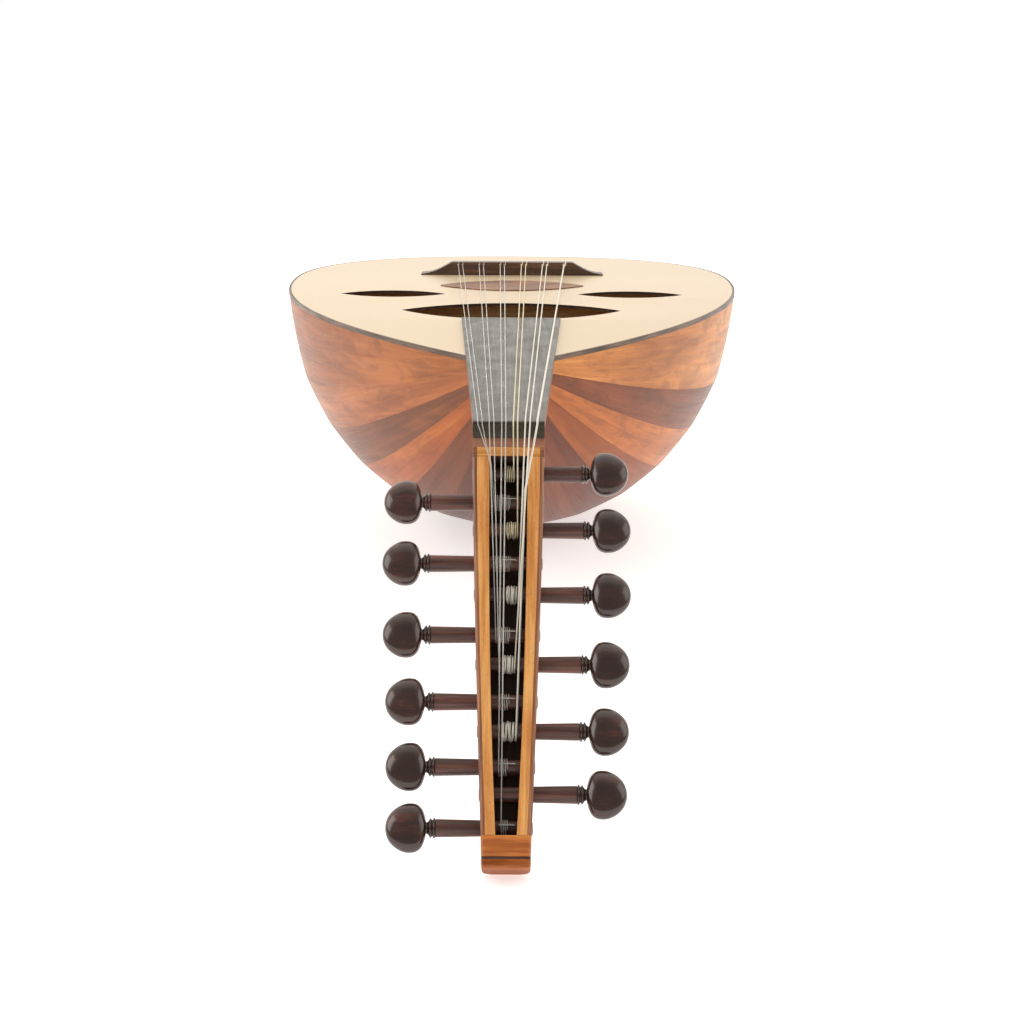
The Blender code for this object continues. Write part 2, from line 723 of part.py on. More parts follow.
def main():
    clear_scene()
    spruce = material("spruce", (0.9, 0.79, 0.62), 0.4)
    softwood = material("softwood", (0.75, 0.6, 0.4), 0.7)
    walnut = material("walnut", (0.55, 0.27, 0.14), 0.3)
    dark_walnut = material("dark_walnut", (0.38, 0.19, 0.11), 0.3)
    neck_wood = material("neck_wood", (0.36, 0.17, 0.1), 0.35)
    ebony = material("ebony", (0.05, 0.045, 0.04), 0.3)
    golden = material("golden_wood", (0.72, 0.42, 0.17), 0.45)
    brown = material("brown_wood", (0.52, 0.27, 0.11), 0.45)
    rosewood = material("rosewood", (0.13, 0.06, 0.05), 0.28)
    veneer = material("veneer", (0.45, 0.22, 0.13), 0.4)
    nylon = material("nylon", (0.85, 0.83, 0.78), 0.3)
    wound = material("wound_metal", (0.78, 0.7, 0.52), 0.35, 1.0)

    instrument = empty("instrument", place=(0.0, SHIFT_Y, SHIFT_Z))
    pegbox = empty("pegbox", instrument, (0.0, -NUT_LENGTH, PEGBOX_Z), PEGBOX_ANGLE)
    make_ribs(instrument, walnut, dark_walnut)
    make_blocks(instrument, softwood)
    make_braces(instrument, softwood)
    make_end_clasp(instrument, dark_walnut)
    make_soundboard(instrument, spruce)
    make_binding(instrument, ebony)
    make_bridge(instrument, rosewood)
    guard = plate(almond(*PICKGUARD, 12), [], THIN_GAP, PICKGUARD_TOP)
    solid("pickguard", guard, veneer, instrument)
    make_neck(instrument, neck_wood)
    make_fingerboard(instrument, ebony)
    make_nut(instrument, ebony)
    walls = make_pegbox(pegbox, golden, brown, neck_wood, ebony)
    make_pegs(pegbox, walls, rosewood)
    make_strings(instrument, nylon, wound)


main()
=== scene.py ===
# The oud's looks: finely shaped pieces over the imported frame, their materials, floor, lights and
# camera. Shapes are worked out in millimetres in the instrument's own frame: x across, y from the
# nut to the tail, z up from the soundboard's face. in_pegbox() gives a place there from one in the
# pegbox: x across, t along it from the nut, h down from its open face. piece() turns millimetres
# into the shared frame's metres.
import math
from collections import namedtuple

import bmesh
import bpy
from mathutils import Matrix, Vector
from mathutils.geometry import tessellate_polygon


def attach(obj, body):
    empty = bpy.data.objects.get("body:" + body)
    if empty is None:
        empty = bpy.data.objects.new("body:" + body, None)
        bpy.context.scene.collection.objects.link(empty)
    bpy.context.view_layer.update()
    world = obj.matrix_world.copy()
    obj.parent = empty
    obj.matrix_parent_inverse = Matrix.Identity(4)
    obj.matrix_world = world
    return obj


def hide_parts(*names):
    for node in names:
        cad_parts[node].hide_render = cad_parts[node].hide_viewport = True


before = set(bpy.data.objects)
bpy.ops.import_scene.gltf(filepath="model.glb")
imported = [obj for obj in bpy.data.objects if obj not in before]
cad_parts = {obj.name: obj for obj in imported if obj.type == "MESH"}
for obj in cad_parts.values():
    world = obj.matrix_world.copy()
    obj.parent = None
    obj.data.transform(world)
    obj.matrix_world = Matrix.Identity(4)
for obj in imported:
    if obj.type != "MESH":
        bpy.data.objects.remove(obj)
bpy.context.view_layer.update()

MM = 0.001

# ---- sizes, most of them the frame's ----
NECK_LENGTH = 198.4
BODY_LENGTH = 498.0
BODY_HALF = 179.0
WIDEST_AT = 335.0
JOINT_HALF = 28.2
TAIL_POWER = 2.5
BOWL_DEPTH = 193.0
ROUNDNESS = BOWL_DEPTH / BODY_HALF
SHIFT = Vector((0.0, -279.22, BOWL_DEPTH))  # the instrument's origin in the shared frame
RIB_THICK = 2.6
RIB_END_RADIUS = 14.0  # 1 less than the frame's, further under the clasp
SIDE_RIB_ANGLE = math.radians(21.0)
MIDDLE_RIBS = 11
BOARD_THICK = 2.0
BINDING_WIDTH = 1.8
BINDING_HEIGHT = 3.0  # 1 less than the frame's, with the ribs reaching up to it
LEDGE_WIDTH = 6.0
MAIN_HOLE = (0.0, 185.0, 80.7, 42.0, 34.5)
SIDE_HOLES = ((-92.0, 265.0, 41.0, 16.5, 17.5), (92.0, 265.0, 41.0, 16.5, 17.5))
PICKGUARD = (0.0, 309.0, 57.0, 26.5, 26.5)
NUT_HALF = 18.65
NUT_LENGTH = 5.0
NUT_TOP = 2.9
NUT_BOTTOM = -5.5
NECK_DEPTHS = (24.6, 30.2)  # at the nut and at the joint
FINGERBOARD_END = 338.3
PEGBOX_ANGLE = math.radians(51.5)
PEGBOX_Z = -10.7
PEGBOX_LENGTH = 213.2
PEGBOX_HALF = 18.7
PEGBOX_TAPER = 6.9
PEGBOX_DEPTH = 24.0
DEPTH_TAPER = 4.4
TOP_CORNER = 1.7
CHANNEL_START = 5.0
CHANNEL_END = 203.0
CHANNEL_HALF = 9.8
CHANNEL_TAPER = 4.7
BACK_THICK = 4.0
CAP_END = 218.3
PEG_H = 10.35
PEG_TIP_RADIUS = 3.45
PEG_TAPER = 0.9
BRIDGE_Y = 570.6
BRIDGE_LENGTH = 17.0
BRIDGE_TOP = 10.75
STRING_Z = 9.0
TIE_DEPTH = 11.5  # how far a string runs into its hole in the bridge

# t of each peg, and how far from the pegbox's wall its head starts
PEGS = {
    "right": ((10.6, 24.0), (42.5, 25.4), (78.0, 25.8), (115.0, 25.6), (149.5, 25.8), (181.0, 25.5)),
    "left": ((27.0, 26.3), (61.0, 27.0), (99.5, 26.8), (134.5, 25.6), (167.5, 25.6), (197.6, 25.9)),
}
# x at the nut, at the bridge, where the string lands on its peg and where the winding ends; how
# many strands cross back over the winding; and (t, x) of a bend over the channel's edge, if any
String = namedtuple("String", "at_nut at_bridge radius side peg at_peg wound_to crossings bend")
STRINGS = [String(*row) for row in (
    (-16.1, -45.0, 0.26, "left", 1, -7.3, 0.8, 1, (9.0, -9.0)),
    (-13.8, -41.4, 0.26, "left", 2, -7.3, 1.4, 0, (12.0, -9.0)),
    (-10.1, -27.6, 0.29, "left", 3, -5.9, 1.0, 1, None),
    (-7.7, -24.0, 0.29, "left", 4, -3.6, 1.0, 0, None),
    (-3.6, -10.0, 0.33, "left", 5, -3.9, 0.4, 0, None),
    (-1.5, -6.4, 0.33, "left", 6, -2.5, 0.6, 0, None),
    (2.4, 7.8, 0.38, "right", 1, 2.9, -1.7, 0, (5.4, 2.6)),
    (4.6, 11.4, 0.38, "right", 2, 4.9, -0.6, 1, None),
    (8.6, 25.4, 0.42, "right", 3, 5.5, -0.5, 2, None),
    (11.1, 29.0, 0.42, "right", 4, 3.8, -2.1, 2, None),
    (14.9, 43.4, 0.58, "right", 5, 4.7, -2.0, 1, (25.0, 8.6)),
)]


# ---- materials ----
def colour(red, green, blue):
    """A display colour, each part 0 to 255, as the renderer's linear one."""
    parts = [c / 255.0 for c in (red, green, blue)]
    return (*(c / 12.92 if c <= 0.04045 else ((c + 0.055) / 1.055) ** 2.4 for c in parts), 1.0)


def add_node(tree, kind, inputs, **settings):
    """A shader node. inputs maps its sockets to values, or to the outputs they are joined to."""
    made = tree.nodes.new("ShaderNode" + kind)
    for key, value in settings.items():
        setattr(made, key, value)
    for key, value in inputs.items():
        if isinstance(value, bpy.types.NodeSocket):
            tree.links.new(value, made.inputs[key])
        else:
            made.inputs[key].default_value = value
    return made


class Paint:
    """A material whose nodes are added by short calls. fixed are the shader's own values."""

    def __init__(self, name, **fixed):
        self.material = bpy.data.materials.new(name)
        self.material.use_nodes = True
        self.tree = self.material.node_tree
        self.shader = self.tree.nodes["Principled BSDF"]
        for socket, value in fixed.items():
            self.shader.inputs[socket.replace("_", " ")].default_value = value

    def node(self, kind, inputs, **settings):
        return add_node(self.tree, kind, inputs, **settings)

    def grain(self, scale, offset=(0.0, 0.0, 0.0)):
        """The piece's grain coordinates (along, across, through, in mm), scaled."""
        source = self.node("Attribute", {}, attribute_name="grain").outputs["Vector"]
        mapped = self.node("Mapping", {"Vector": source, "Location": offset, "Scale": scale})
        return mapped.outputs["Vector"]

    def noise(self, vector, detail=4.0, roughness=0.55, distortion=0.0, scale=1.0):
        inputs = {"Vector": vector, "Scale": scale, "Detail": detail, "Roughness": roughness}
        return self.node("TexNoise", {**inputs, "Distortion": distortion}).outputs["Fac"]

    def ramp(self, factor, *stops):
        made = self.node("ValToRGB", {"Fac": factor})
        elements = made.color_ramp.elements
        while len(elements) < len(stops):
            elements.new(0.5)
        for element, (position, shade) in zip(elements, stops):
            element.position = position
            element.color = shade
        return made.outputs["Color"]

    def mix(self, factor, a, b, blend="MIX"):
        inputs = {0: factor, 6: a, 7: b}
        return self.node("Mix", inputs, data_type="RGBA", blend_type=blend).outputs[2]

    def darken(self, base, factor, dark, clear_at):
        """Less light where factor is low: dark is (factor, light left), and clear_at leaves all."""
        veil = self.ramp(factor, (dark[0], grey(dark[1])), (clear_at, grey(1.0)))
        return self.mix(1.0, base, veil, "MULTIPLY")

    def fit(self, value, low, high, from_low=0.3, from_high=0.7):
        inputs = {"Value": value, "From Min": from_low, "From Max": from_high}
        return self.node("MapRange", {**inputs, "To Min": low, "To Max": high}).outputs["Result"]

    def sum(self, a, b):
        return self.node("Math", {0: a, 1: b}, operation="ADD").outputs[0]

    def finish(self, base, rough=None, height=None, bump=0.3, depth=0.1):
        """Joins up the shader. depth is the bump's height in mm."""
        link = self.tree.links.new
        link(base, self.shader.inputs["Base Color"])
        if rough is not None:
            link(rough, self.shader.inputs["Roughness"])
        if height is not None:
            inputs = {"Height": height, "Strength": bump, "Distance": depth * MM}
            link(self.node("Bump", inputs).outputs["Normal"], self.shader.inputs["Normal"])
        return self.material


def grey(value):
    return (value, value, value, 1.0)


def tones(*shades, at=(0.1, 0.5, 0.9)):
    """The colour stops of a wood, from dark to light."""
    return [(place, colour(*shade)) for place, shade in zip(at, shades)]


def wood(name, stops, long=90.0, wide=3.2, lines=0.8, pores=0.7, rough=(0.3, 0.45), blotch=None,
         offset=0.0, bump=0.25, twist=0.5, pit=(0.16, 3.4), **fixed):
    """Streaks about long by wide mm, from dark to light, finer lines, short pores and, if asked,
    blotches: (how strong, colour). lines and pores are the light left in the darkest of them."""
    paint = Paint(name, **fixed)
    move = (offset * 3.7, offset * 1.9, offset * 0.7)
    figure = paint.noise(paint.grain((1 / long, 1 / wide, 1 / wide), move), 5.0, 0.6, twist)
    broad = paint.noise(paint.grain((0.6 / long, 0.22 / wide, 0.22 / wide), move), 2.0)
    base = paint.ramp(paint.fit(paint.sum(figure, broad), 0.0, 1.0, 0.72, 1.28), *stops)
    fine = paint.noise(paint.grain((0.018, 1.5, 1.5), move), 3.0)
    base = paint.darken(base, fine, (0.32, lines), 0.66)
    pits = paint.noise(paint.grain((pit[0], pit[1], pit[1]), move), 2.0)
    base = paint.darken(base, pits, (0.3, pores), 0.42)
    if blotch:
        cloud = paint.noise(paint.grain((0.022, 0.06, 0.06), move), 4.0, 0.65, 1.2)
        base = paint.mix(paint.fit(cloud, 0.0, blotch[0], 0.48, 0.62), base, colour(*blotch[1]))
    height = paint.sum(paint.fit(fine, 0.0, 0.4), paint.fit(pits, 0.0, 1.0, 0.3, 0.42))
    return paint.finish(base, paint.fit(fine, *rough), height, bump)


def spruce():
    """Pale straight-grained softwood under a satin varnish."""
    paint = Paint("spruce", Coat_Weight=0.25, Coat_Roughness=0.22)
    bands = paint.node(
        "TexWave",
        {"Vector": paint.grain((0.004, 0.75, 0.3)), "Scale": 0.32, "Distortion": 1.4, "Detail": 2.0,
         "Detail Scale": 0.9},
        bands_direction="Y",
        wave_profile="SAW",
    ).outputs["Fac"]
    base = paint.ramp(bands, (0.0, colour(232, 209, 176)), (0.75, colour(230, 205, 170)),
                      (1.0, colour(219, 190, 151)))
    silk = paint.noise(paint.grain((0.03, 0.9, 0.9)), 5.0)
    base = paint.darken(base, silk, (0.3, 0.955), 0.7)
    warm = paint.noise(paint.grain((0.006, 0.012, 0.012)), 2.0)
    base = paint.mix(paint.fit(warm, 0.0, 0.35), base, colour(233, 204, 163))
    return paint.finish(base, paint.fit(silk, 0.34, 0.46), bands, 0.12, 0.05)


def ebony(name, low=30, high=44, rough=(0.24, 0.4), **fixed):
    """Near-black wood, with brown streaks and fine scraping marks along it."""
    paint = Paint(name, Specular_Tint=(1.0, 0.9, 0.74, 1.0), **fixed)
    streak = paint.noise(paint.grain((0.008, 0.35, 0.35)), 4.0)
    dark, light = colour(low, low - 5, low - 11), colour(high, high - 7, high - 16)
    base = paint.ramp(streak, (0.35, dark), (0.68, light))
    marks = paint.noise(paint.grain((0.02, 2.2, 2.2)), 3.0)
    wear = paint.sum(marks, paint.noise(paint.grain((0.05, 0.09, 0.09)), 3.0))
    return paint.finish(base, paint.fit(wear, *rough, 0.75, 1.25), marks, 0.15, 0.04)


def nylon():
    paint = Paint("nylon", Transmission_Weight=0.5, IOR=1.45)
    wear = paint.noise(paint.grain((0.12, 0.8, 0.8)), 2.0)
    base = paint.ramp(wear, (0.3, colour(226, 222, 212)), (0.7, colour(244, 242, 236)))
    return paint.finish(base, paint.fit(wear, 0.12, 0.24))


def wound_metal(name, low, high):
    """Fine wire wound round and round along the string."""
    paint = Paint(name, Metallic=0.3, Specular_IOR_Level=0.6)
    turns = paint.node("TexWave", {"Vector": paint.grain((1.0, 0.04, 0.0)), "Scale": 1.25},
                       bands_direction="X").outputs["Fac"]
    tarnish = paint.noise(paint.grain((0.02, 0.4, 0.4)), 3.0)
    base = paint.ramp(tarnish, (0.3, colour(*low)), (0.7, colour(*high)))
    # The colour is darker in the grooves between the turns: painted shade.
    base = paint.darken(base, turns, (0.0, 0.8), 0.45)
    return paint.finish(base, paint.fit(tarnish, 0.28, 0.42), turns, 0.3, 0.05)


def softwood():
    """The blocks and braces of the frame, which keep their own meshes and have no grain layer."""
    paint = Paint("softwood")
    place = paint.node("TexCoord", {}).outputs["Object"]
    mapped = paint.node("Mapping", {"Vector": place, "Scale": (30.0, 400.0, 400.0)})
    rings = paint.noise(mapped.outputs["Vector"], 4.0)
    base = paint.ramp(rings, (0.3, colour(176, 138, 92)), (0.7, colour(214, 180, 134)))
    return paint.finish(base, paint.fit(rings, 0.6, 0.75), rings, 0.2)


# ---- making pieces ----
def piece(name, shape, paints, node=None, body="instrument", grain=None, cutter=None,
          paint_at=None, bevel=0.0, sharp=32.0):
    """One object. shape is (points, faces) or (points, faces, grain at each point), in mm.
    grain(point) otherwise gives the grain. cutter is a shape that is taken away. paint_at(centre,
    normal) picks a face's paint. bevel rounds the edges by that many mm."""
    made = new_object(name, new_mesh(name, shape))
    if cutter:
        cut_away(made, cutter)
    mesh = made.data
    layer = mesh.attributes.new("grain", "FLOAT_VECTOR", "POINT")
    places = [v.co.copy() for v in mesh.vertices]
    values = shape[2] if len(shape) > 2 else [grain(p) for p in places]
    layer.data.foreach_set("vector", [c for value in values for c in value])
    mesh.materials.clear()
    for paint in paints:
        mesh.materials.append(paint)
    for face in mesh.polygons:
        face.material_index = paint_at(face.center, face.normal) if paint_at else 0
    mesh.transform(Matrix.Scale(MM, 4) @ Matrix.Translation(SHIFT))
    mesh.shade_smooth()
    mesh.set_sharp_from_angle(angle=math.radians(sharp))
    if bevel:
        rounding = made.modifiers.new("edges", "BEVEL")
        rounding.width = bevel * MM
        rounding.segments = 3
        rounding.limit_method = "ANGLE"
        rounding.angle_limit = math.radians(38)
        rounding.harden_normals = True
    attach(made, body)
    if node:
        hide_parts(node)


def new_object(name, data):
    made = bpy.data.objects.new(name, data)
    bpy.context.scene.collection.objects.link(made)
    return made


def new_mesh(name, shape):
    """The shape's points and faces, all facing out."""
    mesh = bpy.data.meshes.new(name)
    mesh.from_pydata([Vector(p) for p in shape[0]], [], shape[1])
    bm = bmesh.new()
    bm.from_mesh(mesh)
    bmesh.ops.recalc_face_normals(bm, faces=bm.faces)
    bm.to_mesh(mesh)
    bm.free()
    return mesh


def cut_away(made, shape):
    tool = new_object("cutter", new_mesh("cutter", shape))
    hole = made.modifiers.new("hole", "BOOLEAN")
    hole.operation = "DIFFERENCE"
    hole.solver = "EXACT"
    hole.object = tool
    depsgraph = bpy.context.evaluated_depsgraph_get()
    made.data = bpy.data.meshes.new_from_object(made.evaluated_get(depsgraph))
    made.data.name = made.name
    made.modifiers.clear()
    bpy.data.objects.remove(tool)


def loft(rings):
    """A skin through closed rings of equal length, with both ends filled."""
    count = len(rings[0])
    points = [p for ring in rings for p in ring]
    faces = [
        (i * count + j, i * count + k, (i + 1) * count + k, (i + 1) * count + j)
        for i in range(len(rings) - 1)
        for j, k in zip(range(count), [*range(1, count), 0])
    ]
    last = (len(rings) - 1) * count
    return points, faces + [tuple(reversed(range(count))), tuple(range(last, last + count))]


def circle(count):
    """Angles once round."""
    return [2 * math.pi * k / count for k in range(count)]


def quarter():
    """Angles of a quarter turn."""
    return [k * math.pi / 12 for k in range(7)]


def mirrored(right):
    """A right half of (across, up) points with its mirror image before it."""
    return [(-x, z) for x, z in right[::-1]] + right


def rod(centres, radius, sides):
    """A round rod that runs roughly along y, for cutting."""
    return loft([[(x + radius * math.cos(a), y, z + radius * math.sin(a)) for a in circle(sides)]
                 for x, y, z in centres])


def joined(shapes):
    """Several shapes as one."""
    points, faces = [], []
    for shape in shapes:
        faces += [tuple(len(points) + q for q in face) for face in shape[1]]
        points += list(shape[0])
    return points, faces


def plate(outer, holes, layers):
    """A plate of the same outline in layers from top to bottom: (z, inset of the edges)."""
    loops = [outer, *holes]
    points, faces, starts = [], [], []
    for z, inset in layers:
        starts.append(len(points))
        for loop in loops:
            points += [(x, y, z) for x, y in shrunk(loop, inset)]
    count = starts[1]
    flat = [[Vector((x, y, 0.0)) for x, y in loop] for loop in loops]
    for a, b, c in tessellate_polygon(flat):
        faces += [(a, b, c), (a + starts[-1], c + starts[-1], b + starts[-1])]
    for top in starts[:-1]:
        start = top
        for loop in loops:
            for i in range(len(loop)):
                a, b = start + i, start + (i + 1) % len(loop)
                faces.append((a, b, b + count, a + count))
            start += len(loop)
    return points, faces


def shrunk(loop, inset):
    """The loop with each point moved to the left of its direction of travel."""
    if not inset:
        return loop
    moved = []
    for i, (x, y) in enumerate(loop):
        (x0, y0), (x1, y1) = loop[i - 1], loop[(i + 1) % len(loop)]
        size = math.hypot(x1 - x0, y1 - y0)
        moved.append((x - inset * (y1 - y0) / size, y + inset * (x1 - x0) / size))
    return moved


def smooth_table(rows, count):
    """count rows read off a smooth curve through the given ones."""
    found = []
    for i in range(count):
        place = (len(rows) - 1) * i / (count - 1)
        k = min(int(place), len(rows) - 2)
        f = place - k
        a, b, c, d = (rows[min(max(k + j, 0), len(rows) - 1)] for j in (-1, 0, 1, 2))
        found.append([
            0.5 * (2 * q + (r - p) * f + (2 * p - 5 * q + 4 * r - s) * f * f
                   + (3 * q - p - 3 * r + s) * f**3)
            for p, q, r, s in zip(a, b, c, d)
        ])
    return found


def tube(path, radius, sides=12):
    """A round tube, with rounded ends, and its grain: along it and round it."""
    path = [Vector(p) for p in path]
    ways = [
        (path[min(i + 1, len(path) - 1)] - path[max(i - 1, 0)]).normalized()
        for i in range(len(path))
    ]
    side = ways[0].orthogonal().normalized()
    points, grains, along, rings = [], [], 0.0, 0
    for i, (centre, way) in enumerate(zip(path, ways)):
        side = (side - way * side.dot(way)).normalized()
        other = way.cross(side)
        along += (centre - path[i - 1]).length if i else 0.0
        steps = [(0.0, 1.0)]
        if i == 0:
            steps = [(-0.9, 0.35), (-0.55, 0.8), (0.0, 1.0)]
        if i == len(path) - 1:
            steps = [(0.0, 1.0), (0.55, 0.8), (0.9, 0.35)]
        for ahead, size in steps:
            for a in circle(sides):
                reach = side * math.cos(a) + other * math.sin(a)
                points.append(centre + way * (radius * ahead) + reach * (radius * size))
                grains.append((along + radius * ahead, a * radius, 0.0))
            rings += 1
    shape = loft([points[i * sides:(i + 1) * sides] for i in range(rings)])
    return shape[0], shape[1], grains


def rounded(path, reach, steps=5):
    """The path with each corner turned over a length of reach to either side."""
    path = [Vector(p) for p in path]
    found = [path[0]]
    for before, corner, after in zip(path, path[1:], path[2:]):
        back = min(reach, 0.45 * (corner - before).length, 0.45 * (after - corner).length)
        start = corner + (before - corner).normalized() * back
        end = corner + (after - corner).normalized() * back
        for k in range(steps + 1):
            f = k / steps
            found.append(start * (1 - f) ** 2 + corner * (2 * f * (1 - f)) + end * f * f)
    return [*found, path[-1]]


def in_pegbox(x, t, h):
    cos, sin = math.cos(PEGBOX_ANGLE), math.sin(PEGBOX_ANGLE)
    return Vector((x, -NUT_LENGTH - t * cos + h * sin, PEGBOX_Z - t * sin - h * cos))


def to_pegbox(point):
    """(x, t, h) of a point."""
    dy, dz = point[1] + NUT_LENGTH, point[2] - PEGBOX_Z
    cos, sin = math.cos(PEGBOX_ANGLE), math.sin(PEGBOX_ANGLE)
    return point[0], -dy * cos - dz * sin, dy * sin - dz * cos


# ---- grain directions: (along, across, through) ----
def along_y(p):
    return p[1], p[0], p[2]


def along_x(p):
    return p[0], p[1], p[2]


def along_pegbox(p):
    x, t, h = to_pegbox(p)
    return t, x, h


# ---- body outline ----
def half_width(s):
    if s <= WIDEST_AT:
        return JOINT_HALF + (BODY_HALF - JOINT_HALF) * (1 - (1 - s / WIDEST_AT) ** 2)
    u = min(1.0, (s - WIDEST_AT) / (BODY_LENGTH - WIDEST_AT))
    return BODY_HALF * (1 - u**TAIL_POWER) ** (1 / TAIL_POWER)


def tail_at(radius):
    part = 1 - (radius / BODY_HALF) ** TAIL_POWER
    return WIDEST_AT + (BODY_LENGTH - WIDEST_AT) * part ** (1 / TAIL_POWER)


def outline(front, back, end_radius):
    """(s, w) from the joint to the tail, ending end_radius from the axis."""
    curve = [(0.15 + (WIDEST_AT - 0.15) * i / front, 0.0) for i in range(front)]
    curve = [(s, half_width(s)) for s, _ in curve]
    last = math.acos((end_radius / BODY_HALF) ** (TAIL_POWER / 2))
    for i in range(back + 1):
        turn = last * i / back
        s = WIDEST_AT + (BODY_LENGTH - WIDEST_AT) * math.sin(turn) ** (2 / TAIL_POWER)
        curve.append((s, BODY_HALF * max(0.0, math.cos(turn)) ** (2 / TAIL_POWER)))
    return curve


def tangents(curve):
    found = []
    for i in range(len(curve)):
        (s0, w0), (s1, w1) = curve[max(0, i - 1)], curve[min(len(curve) - 1, i + 1)]
        if i == len(curve) - 1 and curve[i][1] < 0.01:
            s0, s1 = 0.0, 0.0  # square across the long axis
        size = math.hypot(s1 - s0, w1 - w0)
        found.append(((s1 - s0) / size, (w1 - w0) / size))
    return found


def inward(curve, distance):
    return [
        (s + distance * dw, w - distance * ds) for (s, w), (ds, dw) in zip(curve, tangents(curve))
    ]


# ---- bowl ----
def rib_shape(start, end, cuts):
    """A rib between two seam angles, flatter than the bowl's round, with fine worn seams."""
    seam, worn_width, worn_depth = 0.03, 0.7, 0.12
    outer = outline(52, 40, RIB_END_RADIUS)
    inner = inward(outer, RIB_THICK)
    middle, half = (start + end) / 2, (end - start) / 2
    rings, grains, length = [], [], 0.0
    for i, ((s, w), (s_in, w_in)) in enumerate(zip(outer, inner)):
        length += math.dist(outer[i], outer[i - 1]) if i else 0.0
        rim = math.asin((BINDING_HEIGHT + 0.05) / (ROUNDNESS * w))
        low = rim if start == 0.0 else start + seam / w
        high = math.pi - rim if end == math.pi else end - seam / w
        worn = min(worn_width / w, 0.2 * (high - low))
        turns = [low] + [low + worn + (high - low - 2 * worn) * k / cuts for k in range(cuts + 1)]
        turns.append(high)
        ring = []
        for turn in turns:
            part = (turn - middle) / half
            edge = worn_depth if turn in (low, high) else 0.0
            size = w * (1 - 0.5 * (1 - math.cos(half)) * (1 - part * part)) - edge
            ring.append((turn, s, size))
        ring += [(turn, s_in, w_in) for turn in reversed(turns)]
        rings.append([
            (size * math.cos(turn), NECK_LENGTH + place, -ROUNDNESS * size * math.sin(turn))
            for turn, place, size in ring
        ])
        across = 0.5 * w + 55.0
        grains += [(length, (turn - middle) * across, size - w) for turn, _, size in ring]
    points, faces = loft(rings)
    return points, faces, grains


# Dark, middle and light of each rib, from the right rim round the back, and how blotchy it is.
# Ribs 5 to 9, round the bottom of the bowl, are darker partly from their own wood and partly as
# painted shade.
RIB_TONES = (
    ((178, 108, 56), (203, 128, 65), (224, 150, 79), 0.3),
    ((111, 57, 32), (127, 66, 36), (144, 77, 41), 0.65),
    ((166, 92, 42), (194, 110, 50), (218, 134, 63), 0.35),
    ((131, 65, 27), (149, 75, 31), (165, 88, 38), 0.25),
    ((96, 47, 27), (112, 55, 32), (125, 64, 36), 0.3),
    ((108, 54, 30), (123, 62, 34), (138, 74, 40), 0.25),
    ((92, 45, 25), (108, 53, 30), (122, 62, 34), 0.3),
    ((83, 41, 20), (97, 48, 24), (110, 56, 28), 0.3),
    ((92, 45, 22), (106, 53, 26), (120, 63, 31), 0.25),
    ((142, 70, 27), (166, 84, 33), (187, 105, 42), 0.25),
    ((107, 57, 29), (124, 68, 34), (140, 79, 41), 0.55),
    ((152, 85, 44), (172, 99, 53), (190, 115, 63), 0.35),
    ((144, 79, 39), (164, 93, 46), (181, 109, 56), 0.35),
)


def faces_inward(centre, normal):
    return 1 if centre[0] * normal[0] + centre[2] * normal[2] < 0.0 else 0


def make_ribs(bare):
    """Varnished outside, bare wood inside."""
    step = (math.pi - 2 * SIDE_RIB_ANGLE) / MIDDLE_RIBS
    seams = [0.0, *(SIDE_RIB_ANGLE + k * step for k in range(MIDDLE_RIBS + 1)), math.pi]
    names = ["rib_01_side_right", *(f"rib_{k:02d}" for k in range(2, MIDDLE_RIBS + 2))]
    names.append(f"rib_{MIDDLE_RIBS + 2}_side_left")
    for number, (name, (*shades, blotchy)) in enumerate(zip(names, RIB_TONES)):
        paint = wood(f"walnut_{name}", tones(*shades), 110.0, 6.5, 0.92, 0.82, (0.32, 0.44),
                     (blotchy, (98, 54, 32)), offset=7.0 + 13.0 * number, twist=0.9,
                     Specular_IOR_Level=0.18, Coat_Weight=0.08, Coat_Roughness=0.16)
        shape = rib_shape(seams[number], seams[number + 1], 8)
        piece(name + "_shell", shape, [paint, bare], name, paint_at=faces_inward)


def make_end_clasp(paint):
    """A thin shaped strip outside the tail, with rounded edges."""
    half, thick, columns, rows = 72.0, 1.55, 60, 10
    tip_depth, swell = 6.9, 21.0
    inner = []
    for i in range(columns + 1):
        x = half * (2 * i / columns - 1)
        top, low = -BINDING_HEIGHT - 0.08, -tip_depth - swell * (1 - (x / half) ** 2)
        for j in range(rows + 1):
            z = top + (low - top) * j / rows
            inner.append((x, NECK_LENGTH + tail_at(math.hypot(x, z / ROUNDNESS)) + 0.12, z))
    outer = [(x, y + thick, z) for x, y, z in inner]
    count, row = len(inner), rows + 1
    faces = []
    for i in range(columns):
        for j in range(rows):
            a = i * row + j
            quad = (a, a + 1, a + row + 1, a + row)
            faces += [quad, tuple(count + q for q in reversed(quad))]
    edge = [i * row for i in range(columns + 1)] + [columns * row + j for j in range(1, row)]
    edge += [i * row + rows for i in reversed(range(columns))] + list(range(rows - 1, 0, -1))
    faces += [(a, b, count + b, count + a) for a, b in zip(edge, edge[1:] + edge[:1])]
    piece("end_clasp_strip", (inner + outer, faces), [paint], "end_clasp",
          grain=along_x, bevel=0.6)


# ---- face ----
def almond(x, s, half_length, near, far, steps=40):
    """A pointed hole or plate of two arcs, tip to tip across, counter-clockwise from above."""

    def arc(reach, side):
        radius = (half_length**2 + reach**2) / (2 * reach)
        places = [-side * half_length * (2 * i / steps - 1) for i in range(steps)]
        return [
            (x + u, NECK_LENGTH + s + side * (math.sqrt(radius**2 - u**2) - radius + reach))
            for u in places
        ]

    return (arc(far, 1) + arc(near, -1))[::-1]


